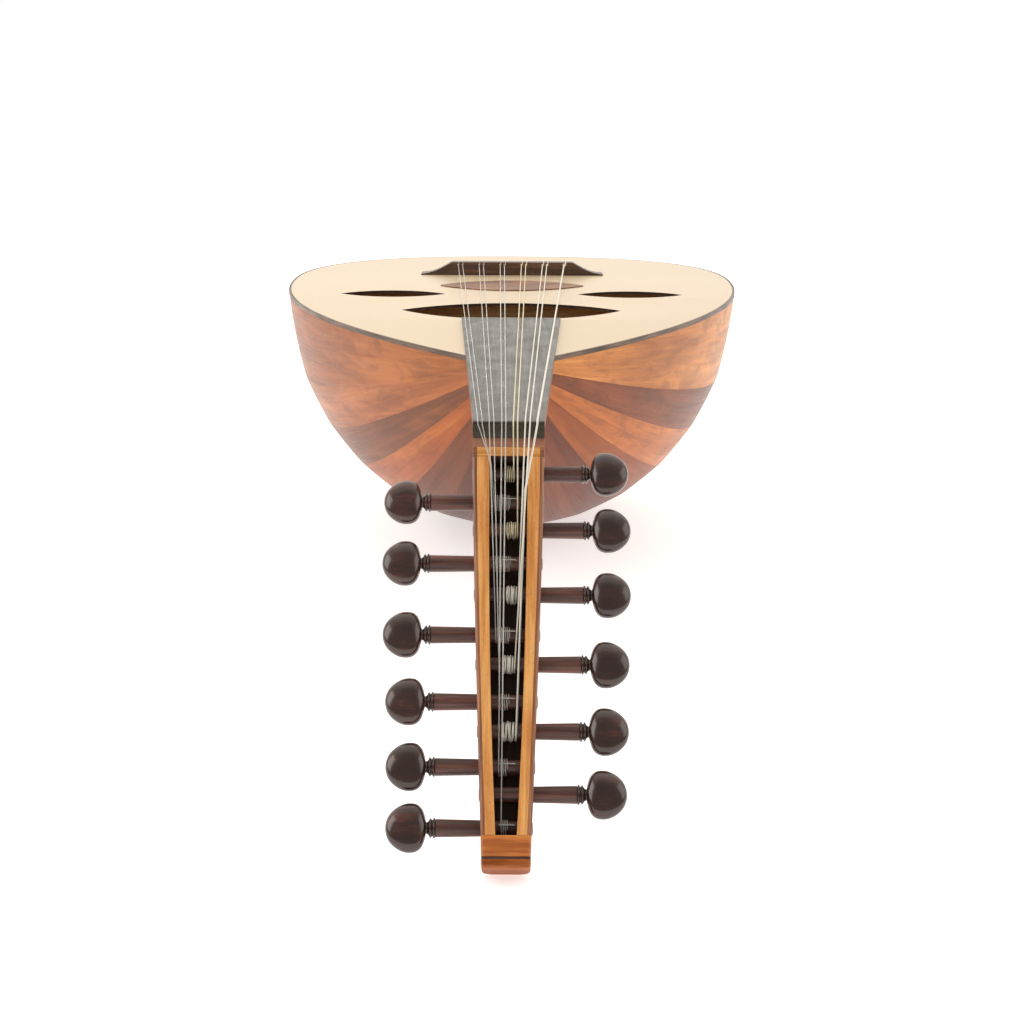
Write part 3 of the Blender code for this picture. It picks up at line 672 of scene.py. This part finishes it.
def make_soundboard(paint, edge_shade):
    """A thin plate with three almond holes, whose cut edges are painted dark as painted shade."""
    curve = inward(outline(52, 60, 0.0), BINDING_WIDTH + 0.03)
    (s0, w0), (s1, w1) = curve[:2]
    curve.insert(0, (0.1, w0 - (s0 - 0.1) * (w1 - w0) / (s1 - s0)))
    curve[-1] = (curve[-1][0], 0.0)
    right = [(w, NECK_LENGTH + s) for s, w in curve]
    outer = right + [(-x, y) for x, y in right[:-1]][::-1]
    holes = [almond(*hole) for hole in (MAIN_HOLE, *SIDE_HOLES)]
    layers = ((0.0, 0.25), (-0.08, 0.07), (-0.3, 0.0), (-1.7, 0.0), (-BOARD_THICK, 0.2))
    shape = plate(outer, [hole[::-1] for hole in holes], layers)

    def edge_paint(centre, normal):
        # The holes' cut edges take the dark paint: painted shade.
        inside = half_width(max(0.0, centre[1] - NECK_LENGTH)) - abs(centre[0]) > 25.0
        return 1 if inside and abs(normal[2]) < 0.6 and centre[1] < NECK_LENGTH + 300.0 else 0

    piece("soundboard_plate", shape, [paint, edge_shade], "soundboard",
          grain=along_y, paint_at=edge_paint)


def make_binding(paint):
    """The rim strip: rounded on top, with a ledge under the soundboard."""
    corner = 0.55
    profile = [(corner * (1 - math.sin(a)), -corner * (1 - math.cos(a)))
               for a in (k * math.pi / 8 for k in range(5))][::-1]
    profile += [(0.0, -BINDING_HEIGHT), (LEDGE_WIDTH, -BINDING_HEIGHT),
                (LEDGE_WIDTH, -BOARD_THICK - 0.05), (BINDING_WIDTH, -BOARD_THICK - 0.05),
                (BINDING_WIDTH, -0.12), (BINDING_WIDTH - 0.12, 0.0)]
    curve = outline(52, 60, 0.0)
    places = list(zip(curve, tangents(curve)))
    rings, grains, length, before = [], [], 0.0, curve[0]
    for side, order in ((-1, places), (1, places[-2::-1])):
        for (s, w), (ds, dw) in order:
            length += math.dist(before, (s, w))
            before = (s, w)
            rings.append([(side * (w - d * ds), NECK_LENGTH + s + d * dw, z) for d, z in profile])
            grains += [(length, d, z) for d, z in profile]
    points, faces = loft(rings)
    piece("rim_strip", (points, faces, grains), [paint], "rim_binding")


# x and the part of the bridge's height there, out to the wing's tip
BRIDGE_WING = ((50.0, 1.0), (51.5, 0.94), (54.0, 0.81), (57.2, 0.64), (60.5, 0.475), (63.8, 0.34),
               (66.5, 0.255), (69.2, 0.185), (72.0, 0.13), (74.4, 0.095), (76.0, 0.07))


def make_bridge(paint, hole_paint):
    """A long low block with hollowed wings, a back that slopes away and a hole for each string."""
    foot = 0.12
    right = [(x, foot + (BRIDGE_TOP - foot) * z) for x, z in BRIDGE_WING]
    right.append((BRIDGE_WING[-1][0], foot))
    profile = mirrored(right)
    slopes = ((0.0, 1.0), (0.3, 1.0), (0.55, 0.985), (0.7, 0.9), (0.85, 0.77), (1.0, 0.6))
    rings = []
    for part, height in slopes:
        y = BRIDGE_Y + BRIDGE_LENGTH * part
        rings.append([(x, y, foot + (z - foot) * height) for x, z in profile])
    ends = (BRIDGE_Y - 2, BRIDGE_Y + BRIDGE_LENGTH + 2)
    drills = [rod([(row.at_bridge, y, STRING_Z) for y in ends], row.radius + 0.25, 10)
              for row in STRINGS]

    def inside_hole(centre, normal):
        near = min(math.hypot(centre[0] - row.at_bridge, centre[2] - STRING_Z) for row in STRINGS)
        # The inside of each string hole is painted dark: painted shade.
        return 1 if near < 0.8 and abs(normal[1]) < 0.5 and normal[2] < 0.9 else 0

    piece("bridge_block", loft(rings), [paint, hole_paint], "bridge",
          grain=along_x, cutter=joined(drills), paint_at=inside_hole, bevel=0.35)


def make_pickguard(paint):
    shape = plate(almond(*PICKGUARD, 48), [], ((0.75, 0.5), (0.66, 0.15), (0.5, 0.0), (0.08, 0.0)))
    piece("pickguard_leaf", shape, [paint], "pickguard", grain=along_x)


# ---- neck ----
def neck_half(y):
    return NUT_HALF + (JOINT_HALF - NUT_HALF) * y / NECK_LENGTH


def make_neck(paint):
    """A rounded beam, cut at the nut along the pegbox's end."""
    turns = [math.pi * k / 40 for k in range(41)]
    rings = []
    for y in spread(0.06, NECK_LENGTH - 0.1, 32):
        half = neck_half(y) - 0.03
        depth = NECK_DEPTHS[0] + (NECK_DEPTHS[1] - NECK_DEPTHS[0]) * y / NECK_LENGTH - 0.1
        rings.append([(half * math.cos(a), y, -0.05 - depth * math.sin(a) ** 0.9) for a in turns])
    slab = loft([[(x, *in_pegbox(0.0, t, h)[1:]) for t, h in
                  ((-0.04, -30.0), (60.0, -30.0), (60.0, 60.0), (-0.04, 60.0))]
                 for x in (-40.0, 40.0)])
    piece("neck_beam", loft(rings), [paint], "neck", grain=along_y, cutter=slab)


def make_fingerboard(paint):
    outer = [(neck_half(y), y) for y in (0.05, NECK_LENGTH, FINGERBOARD_END)]
    loop = outer + [(-x, y) for x, y in outer[::-1]]
    dense = []
    for (x0, y0), (x1, y1) in zip(loop, loop[1:] + loop[:1]):
        dense += [(x0 + (x1 - x0) * k / 8, y0 + (y1 - y0) * k / 8) for k in range(8)]
    shape = plate(dense, [], ((2.0, 0.3), (1.9, 0.08), (1.65, 0.0), (0.05, 0.0)))
    piece("fingerboard_plate", shape, [paint], "fingerboard", grain=along_y)


def make_nut(paint):
    profile = [(-NUT_LENGTH, NUT_BOTTOM), (-0.05, NUT_BOTTOM), (-0.05, 2.3), (-0.25, 2.65),
               (-0.8, NUT_TOP), (-3.7, NUT_TOP), (-4.45, 2.6), (-4.85, 2.1), (-NUT_LENGTH, 1.5)]
    shape = loft([[(x, y, z) for y, z in profile] for x in (-NUT_HALF, NUT_HALF)])
    ends = ((2.0, 0.0), (-4.4, 0.0), (-7.5, 1.9))
    slots = [rod([(row.at_nut, y, NUT_TOP + 0.1 - drop) for y, drop in ends], row.radius + 0.05, 12)
             for row in STRINGS]
    piece("nut_bar", shape, [paint], "nut", grain=along_x, cutter=joined(slots),
          bevel=0.12)


# ---- pegbox ----
def outer_half(t):
    return PEGBOX_HALF - PEGBOX_TAPER * (max(t, 0.0) / PEGBOX_LENGTH) ** 1.3


def channel_half(t):
    part = max(0.0, (t - CHANNEL_START) / (CHANNEL_END - CHANNEL_START))
    return CHANNEL_HALF - CHANNEL_TAPER * part**2.2


def depth_at(t):
    return PEGBOX_DEPTH - DEPTH_TAPER * t / 218.0


def top_corner(half, down=0.0):
    """The pegbox's rounded upper edge, (x, h) from the face to the side."""
    return [(half - TOP_CORNER + TOP_CORNER * math.sin(a),
             down + TOP_CORNER - TOP_CORNER * math.cos(a)) for a in quarter()]


def pegbox_loft(stations, section):
    return loft([[in_pegbox(x, t, h) for x, h in section(t)] for t in stations])


def spread(start, end, count):
    return [start + (end - start) * i / count for i in range(count + 1)]


def wall_paint(centre, normal):
    """0 golden face, 1 brown outer skin, 2 dark paint as painted shade in the channel and peg holes.
    """
    x, t, h = to_pegbox(centre)
    if abs(x) < channel_half(t) + 0.15 and h > 0.35:
        return 2
    from_peg = min(math.hypot(t - at, h - PEG_H) for rows in PEGS.values() for at, _ in rows)
    if from_peg < 5.2 and abs(normal[0]) < 0.6:
        return 2
    return 1 if abs(x) > outer_half(t) - 2.3 else 0


def make_walls(gold, skin, dark):
    """Each with a fine groove along its face and a tapered hole for every peg."""
    drills = []
    for name, side in (("right", 1), ("left", -1)):
        for t, seat in PEGS[name]:
            tip, collar, _ = peg_ends(t, seat)
            rings = []
            for u in (-30.0, 30.0):
                radius = shank_radius(u, tip, collar) + 0.06
                rings.append([in_pegbox(side * u, t + radius * math.cos(a),
                                        PEG_H + radius * math.sin(a)) for a in circle(40)])
            drills.append(loft(rings))
    for name, side in (("right", 1), ("left", -1)):

        def section(t):
            outer, inner, low = outer_half(t), channel_half(t), depth_at(t) - BACK_THICK - 0.04
            ring = [(inner, low), (inner, 0.3), (inner + 0.1, 0.08), (inner + 0.35, 0.0)]
            ring += [(outer - 2.25, 0.0), (outer - 2.15, 0.06), (outer - 2.05, 0.0)]
            ring += top_corner(outer)
            return [(side * x, h) for x, h in [*ring, (outer, 4.0), (outer, low)]]

        shape = pegbox_loft(spread(CHANNEL_START + 0.04, CHANNEL_END - 0.04, 36), section)
        piece(f"pegbox_side_{name}", shape, [gold, skin, dark],
              f"pegbox_wall_{name}", grain=along_pegbox, cutter=joined(drills),
              paint_at=wall_paint)


def end_ring(shrink):
    """The end's outline, with round lower corners, drawn in all round by shrink."""
    half, radius = outer_half(PEGBOX_LENGTH) - 0.6 * shrink, 5.0
    low = depth_at(PEGBOX_LENGTH) - shrink
    right = top_corner(half, shrink)
    right += [(half + radius * (math.cos(a) - 1), low + radius * (math.sin(a) - 1))
              for a in (k * math.pi / 20 for k in range(11))]
    return mirrored(right)


def make_head(gold, skin, dark):
    """The block at the nut, which fills the corner between pegbox and neck."""
    inner_low = depth_at(0.0) - BACK_THICK
    low = NUT_BOTTOM - 0.05
    cos, sin = math.cos(PEGBOX_ANGLE), math.sin(PEGBOX_ANGLE)
    side = [to_pegbox((0.0, -NUT_LENGTH, low))[1:], to_pegbox((0.0, -0.1, low))[1:],
            (0.05, (NUT_LENGTH - 0.1 + 0.05 * cos) / sin), (0.05, inner_low - 0.04),
            (CHANNEL_START, inner_low - 0.15), (CHANNEL_START, 0.0), (0.0, 0.0)]
    shape = loft([[in_pegbox(x, t, h) for t, h in side] for x in (-18.6, -16.3, 16.3, 18.6)])

    def head_paint(centre, normal):
        x, t, h = to_pegbox(centre)
        # The faces in the channel are painted dark: painted shade.
        if t > CHANNEL_START - 0.1 and h > 0.4:
            return 2
        return 0 if h < 0.2 and t > 0.1 and normal[2] > 0.3 and abs(x) < 16.0 else 1

    piece("pegbox_head", shape, [gold, skin, dark], "pegbox_head_block",
          grain=along_x, paint_at=head_paint, bevel=0.3)


def make_end(end_wood, dark):
    def section(t):
        half = outer_half(t)
        return mirrored(top_corner(half) + [(half, depth_at(t) - BACK_THICK - 0.04)])

    def end_paint(centre, normal):
        # The face towards the channel is painted dark: painted shade.
        return 1 if to_pegbox(centre)[1] < CHANNEL_END + 0.1 else 0

    shape = pegbox_loft(spread(CHANNEL_END + 0.03, PEGBOX_LENGTH - 0.02, 8), section)
    piece("pegbox_end", shape, [end_wood, dark], "pegbox_end_block",
          grain=along_x, bevel=0.25, paint_at=end_paint)


def make_back(back_wood, dark):
    corner = 1.5

    def section(t):
        half, base = outer_half(t), depth_at(t)
        right = [(half + corner * (math.cos(a) - 1), base + corner * (math.sin(a) - 1))
                 for a in quarter()]
        ring = [(half, base - BACK_THICK), *right]
        return ring + [(-x, h) for x, h in ring[::-1]]

    def back_paint(centre, normal):
        # The channel's floor is painted dark: painted shade.
        return 1 if abs(centre[0]) < 10 and normal[1] < -0.3 else 0

    shape = pegbox_loft(spread(0.05, PEGBOX_LENGTH - 0.02, 36), section)
    piece("pegbox_back_plate", shape, [back_wood, dark], "pegbox_back",
          grain=along_pegbox, paint_at=back_paint)


def make_cap(cap_wood, dark):
    """The dark line and the rounded cap over the pegbox's end."""
    line_end, corner = PEGBOX_LENGTH + 1.2, 2.0
    shape = pegbox_loft((PEGBOX_LENGTH + 0.02, line_end), lambda t: end_ring(0.0))
    piece("end_inlay_line", shape, [dark], "end_inlay", grain=along_x)
    shrinks = {line_end + 0.04: 0.0}
    for a in quarter():
        shrinks[CAP_END - corner + corner * math.sin(a)] = corner * (1 - math.cos(a))
    shape = pegbox_loft(list(shrinks), lambda t: end_ring(shrinks[t]))
    piece("end_cap_block", shape, [cap_wood], "end_cap", grain=along_x)


# ---- pegs: along each peg, u = 0 in the middle of the pegbox and u grows to the head ----
PEG_HEAD = (  # u from the head's start, half its height, half its thickness
    (0.2, 2.9, 2.75), (0.8, 5.9, 3.35), (2.0, 8.9, 4.25), (3.7, 10.8, 5.05), (5.7, 11.75, 5.6),
    (8.0, 12.0, 5.8), (10.6, 11.75, 5.6), (13.3, 10.7, 5.1), (15.9, 8.9, 4.4), (18.0, 6.6, 3.5),
    (19.2, 4.3, 2.5), (19.85, 2.0, 1.3), (20.0, 0.25, 0.2),
)
PEG_COLLAR = (  # u from the collar's start, radius: a wide ring and a narrower one
    (-0.1, 4.3), (0.0, 4.15), (0.12, 4.55), (0.35, 4.95), (0.7, 5.08), (1.05, 4.95), (1.3, 4.5),
    (1.5, 3.95), (1.75, 3.95), (1.95, 4.4), (2.25, 4.72), (2.6, 4.78), (2.95, 4.55), (3.2, 3.95),
    (3.6, 3.3),
)


def peg_ends(t, seat):
    """(tip, collar, head) along the peg."""
    head = outer_half(t) + seat
    return -outer_half(t) - 0.9, head - 4.4, head


def shank_radius(u, tip, collar):
    return PEG_TIP_RADIUS + PEG_TAPER * (u - tip) / (collar - tip)


def peg_shape(t, seat, side):
    """Round from the tip to the collar, then flattened and a little square in the head."""
    tip, collar, head = peg_ends(t, seat)
    tip += 0.5
    turned = [(tip, 2.2), (tip + 0.12, 2.9), (tip + 0.35, 3.3), (tip + 0.7, 3.46)]
    turned += [(u, shank_radius(u, tip, collar)) for u in spread(tip + 4.0, collar - 0.35, 12)]
    turned += [(collar + u, radius) for u, radius in PEG_COLLAR]
    turned += [(head - 0.35, 2.85), (head - 0.05, 2.8)]
    rows = [(u, r, r, 2.0) for u, r in turned]
    rows += [(head + u, tall, thick, 2.0 + 0.25 * min(1.0, u / 3.0))
             for u, tall, thick in smooth_table(PEG_HEAD, 37)]
    rings, grains = [], []
    for u, tall, thick, power in rows:
        ring = []
        for a in circle(48):
            c, s = math.cos(a), math.sin(a)
            dt = tall * math.copysign(abs(c) ** (2 / power), c)
            dh = thick * math.copysign(abs(s) ** (2 / power), s)
            ring.append(in_pegbox(side * u, t + dt, PEG_H + dh))
            grains.append((u + 57.0 * t, dt, dh))
        rings.append(ring)
    points, faces = loft(rings)
    return points, faces, grains


def make_pegs(shank, head_wood):
    for name, side in (("right", 1), ("left", -1)):
        for number, (t, seat) in enumerate(PEGS[name], 1):
            collar = peg_ends(t, seat)[1]
            peg = f"peg_{name}_{number}"

            def peg_paint(centre, normal):
                return 1 if abs(centre[0]) > collar + 0.05 else 0

            shape = peg_shape(t, seat, side)
            piece(peg + "_turned", shape, [shank, head_wood], peg, body=peg,
                  sharp=50.0, paint_at=peg_paint)


# ---- strings ----
def touch(start, centre, radius):
    """Where a line from start touches a circle, on the open face's side: (t, h, angle)."""
    dt, dh = start[0] - centre[0], start[1] - centre[1]
    base = math.atan2(dh, dt)
    turn = math.acos(radius / math.hypot(dt, dh))
    angle = min((base - turn, base + turn), key=math.sin)
    return centre[0] + radius * math.cos(angle), centre[1] + radius * math.sin(angle), angle


def strand_path(row, t, tip, collar):
    """From its bridge hole over the nut to its peg, and the angle at which it lands there."""
    over_nut = NUT_TOP + 0.1
    path = [
        Vector((row.at_bridge, BRIDGE_Y + TIE_DEPTH, STRING_Z)),
        Vector((row.at_bridge, BRIDGE_Y, STRING_Z)),
        Vector((row.at_nut, -0.4, over_nut)),
        Vector((row.at_nut, -4.3, over_nut)),
        Vector((row.at_nut, -NUT_LENGTH - 0.2, over_nut - 0.9)),
    ]
    start = to_pegbox(path[-1])[1:]
    if row.bend:
        start = (row.bend[0], -row.radius - 0.05)
        path.append(in_pegbox(row.bend[1], *start))
    u = row.at_peg if row.side == "right" else -row.at_peg
    reach = shank_radius(u, tip, collar) + row.radius
    end_t, end_h, angle = touch(start, (t, PEG_H), reach)
    path.append(in_pegbox(row.at_peg, end_t, end_h))
    return path, angle


def winding_path(row, t, tip, collar, angle):
    """Turn after turn from where the string lands, strands that cross back, and into the peg."""
    radius, start, end = row.radius, row.at_peg, row.wound_to
    sign = 1 if row.side == "right" else -1
    spacing = 3.1 if row.side == "right" else 3.6
    turns = max(2, round(abs(end - start) / (spacing * radius)))
    passes = [(start, end, turns, 1.0)]
    # The crossings turn back before the first turns, where the strand lands.
    clear = start + 3.4 * radius * (1 if end > start else -1)
    for k in range(row.crossings):
        passes.append(((end, clear) if k % 2 == 0 else (clear, end)) + (1.5, 1.95))
    path, a, layer, per_turn = [], angle, 1.0, 28
    for low, high, count, level in passes:
        steps = int(count * per_turn)
        for i in range(steps + 1):
            x = low + (high - low) * (i / steps)
            layer += (level - layer) * 0.12
            reach = shank_radius(sign * x, tip, collar) + radius * layer - 0.05
            path.append(in_pegbox(x, t + reach * math.cos(a), PEG_H + reach * math.sin(a)))
            a += 2 * math.pi * count / steps
    for i in range(1, 9):
        a += 0.09
        reach = shank_radius(sign * x, tip, collar) + radius * layer - i * 0.34
        path.append(in_pegbox(x, t + reach * math.cos(a), PEG_H + reach * math.sin(a)))
    return path


def loose_end(row, t, tip, collar):
    """The end of a nylon string, which lies along its peg in front."""
    ends = (-0.6, -0.2, 6.8, 7.2)
    lifts = (1.0, 3.0, 3.0, 1.2)
    reaches = [shank_radius(-x, tip, collar) + row.radius * k for x, k in zip(ends, lifts)]
    return [in_pegbox(x - 3.0, t - 0.15 * r, PEG_H - 0.989 * r) for x, r in zip(ends, reaches)]


def tie_path(row):
    """Back over the bridge, and tied under the string in front of it."""
    x, aside, top = row.at_bridge, 2.1 * row.radius, BRIDGE_TOP + row.radius
    return [(x, BRIDGE_Y + TIE_DEPTH, STRING_Z), (x, BRIDGE_Y + 13.6, STRING_Z + 0.5),
            (x + 0.3 * aside, BRIDGE_Y + 12.4, STRING_Z + 1.2),
            (x + 0.6 * aside, BRIDGE_Y + 9.0, top), (x + aside, BRIDGE_Y + 0.4, top),
            (x + aside, BRIDGE_Y - 1.3, STRING_Z + 0.4),
            (x + 0.4 * aside, BRIDGE_Y - 1.9, STRING_Z - aside),
            (x - aside, BRIDGE_Y - 2.4, STRING_Z - 0.2), (x, BRIDGE_Y - 2.9, STRING_Z + aside),
            (x + aside, BRIDGE_Y - 3.3, STRING_Z)]


def make_string(number, row, paint):
    """Its windings ride on its peg, and its strand and tie on the instrument."""
    name, peg, radius = f"string_{number:02d}", f"peg_{row.side}_{row.peg}", row.radius
    t, seat = PEGS[row.side][row.peg - 1]
    tip, collar, _ = peg_ends(t, seat)
    path, angle = strand_path(row, t, tip, collar)
    piece(name + "_strand", tube(rounded(path, 1.2), radius), [paint], name)
    shape = tube(winding_path(row, t, tip, collar, angle), radius, 10)
    piece(name + "_winding", shape, [paint], body=peg)
    if row.side == "left":
        shape = tube(rounded(loose_end(row, t, tip, collar), 0.4), radius, 10)
        piece(name + "_end", shape, [paint], body=peg)
    piece(name + "_tie", tube(rounded(tie_path(row), 0.9), radius * 0.92, 10), [paint])


# ---- the oud ----
gold = wood("golden_wood", tones((212, 134, 62), (232, 158, 82), (246, 182, 106)), 34.0, 1.6, 0.84,
            0.74, (0.42, 0.55), bump=0.1, pit=(0.45, 1.6))
skin = wood("pegbox_skin", tones((118, 68, 40), (150, 92, 56), (180, 120, 78)), 60.0, 1.4, 0.8, 0.7,
            (0.34, 0.46), Coat_Weight=0.15, Coat_Roughness=0.2)
end_wood = wood("pegbox_end_wood", tones((178, 96, 36), (205, 118, 50), (226, 142, 68)), 20.0, 1.8,
                0.84, 0.7, (0.36, 0.5))
cap_wood = wood("pegbox_cap_wood", tones((138, 68, 22), (160, 84, 30), (184, 104, 46)), 20.0, 1.8,
                0.84, 0.7, (0.42, 0.55), Specular_IOR_Level=0.25)
neck_paint = wood("neck_wood", tones((98, 56, 42), (130, 78, 58), (160, 102, 78)), 110.0, 2.6, 0.82,
                  0.7, (0.28, 0.4), Coat_Weight=0.5, Coat_Roughness=0.15)
clasp_paint = wood("clasp_wood", tones((92, 56, 44), (124, 76, 56), (154, 98, 70)), 90.0, 2.8, 0.84,
                   0.72, (0.3, 0.42), Coat_Weight=0.5, Coat_Roughness=0.16)
shank_paint = wood("peg_shank", tones((58, 34, 29), (88, 53, 45), (120, 75, 62)), 40.0, 1.3, 0.78,
                   0.7, (0.34, 0.46))
head_paint = wood("peg_head", tones((42, 25, 22), (54, 32, 27), (84, 46, 39), at=(0.1, 0.6, 0.95)),
                  22.0, 4.5, 0.95, 0.92, (0.2, 0.25), bump=0.02,
                  Specular_Tint=(1.0, 0.9, 0.84, 1.0), Coat_Weight=0.5, Coat_Roughness=0.06)
bridge_stops = tones((62, 43, 34), (90, 63, 50), (118, 86, 67), at=(0.1, 0.6, 0.95))
bridge_paint = wood("bridge_wood", bridge_stops, 60.0, 1.8, 0.84, 0.74, (0.3, 0.42))
leaf_paint = wood("pickguard_figured", tones((122, 72, 40), (152, 98, 60), (180, 128, 82)), 26.0,
                  3.4, 0.84, 0.8, (0.3, 0.42), (0.5, (104, 58, 34)), twist=1.8,
                  Specular_IOR_Level=0.25)
binding_paint = wood("binding_wood", tones((70, 54, 44), (99, 77, 62), (132, 106, 86)), 26.0, 1.6,
                     0.84, 0.76, (0.3, 0.42))
# Dark wood for the inlay line at the pegbox's end, and painted shade in the pegbox's channel, the
# peg and string holes and the sound holes' cut edges.
dark_inlay_and_shade = wood("dark_inlay_and_painted_shade", tones((46, 26, 19), (80, 48, 34), at=(0.2, 0.8)), 60.0, 2.0, 0.8,
                  0.8, (0.6, 0.75))
inside_paint = wood("bare_rib", tones((216, 172, 112), (238, 198, 138), (249, 218, 162)), 90.0, 4.0,
                    0.86, 0.78, (0.6, 0.75))
board_ebony = ebony("fingerboard_ebony")
nut_ebony = ebony("nut_ebony", 34, 50, (0.36, 0.46))
silver = wound_metal("wound_silver", (232, 225, 206), (250, 246, 236))
golden = wound_metal("wound_gold", (226, 212, 170), (246, 236, 204))
clear = nylon()

make_ribs(inside_paint)
make_end_clasp(clasp_paint)
make_soundboard(spruce(), dark_inlay_and_shade)
make_binding(binding_paint)
make_bridge(bridge_paint, dark_inlay_and_shade)
make_pickguard(leaf_paint)
make_neck(neck_paint)
make_fingerboard(board_ebony)
make_nut(nut_ebony)
make_walls(gold, skin, dark_inlay_and_shade)
make_head(gold, skin, dark_inlay_and_shade)
make_end(end_wood, dark_inlay_and_shade)
make_back(neck_paint, dark_inlay_and_shade)
make_cap(cap_wood, dark_inlay_and_shade)
make_pegs(shank_paint, head_paint)
for number, row in enumerate(STRINGS, 1):
    if row.side == "left":
        make_string(number, row, clear)
    else:
        make_string(number, row, golden if row.peg < 3 else silver)

bare = softwood()
for name in ("neck_block", "tail_block", *(f"brace_{k}" for k in range(1, 8))):
    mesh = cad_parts[name].data
    mesh.materials.clear()
    mesh.materials.append(bare)

# ---- floor, lights and camera ----
scene = bpy.context.scene
scene.view_settings.view_transform = "Standard"
world = bpy.data.worlds.new("studio")
world.use_nodes = True
scene.world = world
sky = world.node_tree
# The room is bright behind the oud's tail and dim in front of its pegs.
way = add_node(sky, "TexCoord", {}).outputs["Generated"]
ahead = add_node(sky, "SeparateXYZ", {0: way}).outputs["Y"]
glow = add_node(sky, "MapRange", {"Value": ahead, "From Min": -0.5, "From Max": 0.6, "To Min": 0.38,
                                  "To Max": 1.32}, interpolation_type="SMOOTHSTEP")
# Its walls show white, though what they light is a little warmer.
camera_ray = add_node(sky, "LightPath", {}).outputs["Is Camera Ray"]
shown = add_node(sky, "Mix", {"Factor": camera_ray, "A": glow.outputs["Result"], "B": 1.0})
tint = add_node(sky, "Mix", {0: camera_ray, 6: (1.0, 0.965, 0.905, 1.0), 7: (1.0, 1.0, 1.0, 1.0)},
                data_type="RGBA")
sky.links.new(shown.outputs["Result"], sky.nodes["Background"].inputs["Strength"])
sky.links.new(tint.outputs[2], sky.nodes["Background"].inputs["Color"])

floor_mesh = bpy.data.meshes.new("floor")
floor_mesh.from_pydata([(-30, -30, 0), (30, -30, 0), (30, 30, 0), (-30, 30, 0)], [], [(0, 1, 2, 3)])
floor = new_object("floor", floor_mesh)
floor.location.z = -0.0005
pale = Paint("floor_pale", Roughness=0.8, Emission_Color=(1.0, 1.0, 1.0, 1.0),
             Emission_Strength=0.55)
spots = pale.noise(pale.node("TexCoord", {}).outputs["Object"], 3.0)
floor_mesh.materials.append(pale.finish(pale.ramp(spots, (0.3, grey(0.93)), (0.7, grey(0.95)))))


def softbox(name, place, target, width, height, power):
    light = bpy.data.lights.new(name, "AREA")
    light.shape = "RECTANGLE"
    light.size, light.size_y, light.energy = width, height, power
    made = new_object(name, light)
    made.location = place
    made.rotation_euler = (Vector(target) - Vector(place)).to_track_quat("-Z", "Y").to_euler()


softbox("top", (0.0, 0.5, 2.2), (0.0, 0.0, 0.0), 2.6, 2.6, 6.0)
softbox("left", (-1.9, -0.7, 1.3), (0.0, -0.1, 0.1), 1.2, 1.4, 16.0)
softbox("right", (1.9, -0.7, 1.3), (0.0, -0.1, 0.1), 1.2, 1.4, 8.5)

CAMERA_PLACE = (0.0036, -1.1678, 0.3928)
LENS = 61.36
YAW, PITCH, ROLL = math.radians(-0.11), math.radians(15.52), math.radians(0.25)
forward = Matrix.Rotation(-YAW, 3, "Z") @ Vector((0.0, math.cos(PITCH), -math.sin(PITCH)))
level = Vector((math.cos(YAW), -math.sin(YAW), 0.0))
upright = level.cross(forward)
right = level * math.cos(ROLL) + upright * math.sin(ROLL)
up = upright * math.cos(ROLL) - level * math.sin(ROLL)
camera = new_object("camera", bpy.data.cameras.new("camera"))
camera.data.lens = LENS
turned = Matrix((right, up, -forward)).transposed().to_4x4()
camera.matrix_world = Matrix.Translation(CAMERA_PLACE) @ turned
scene.camera = camera
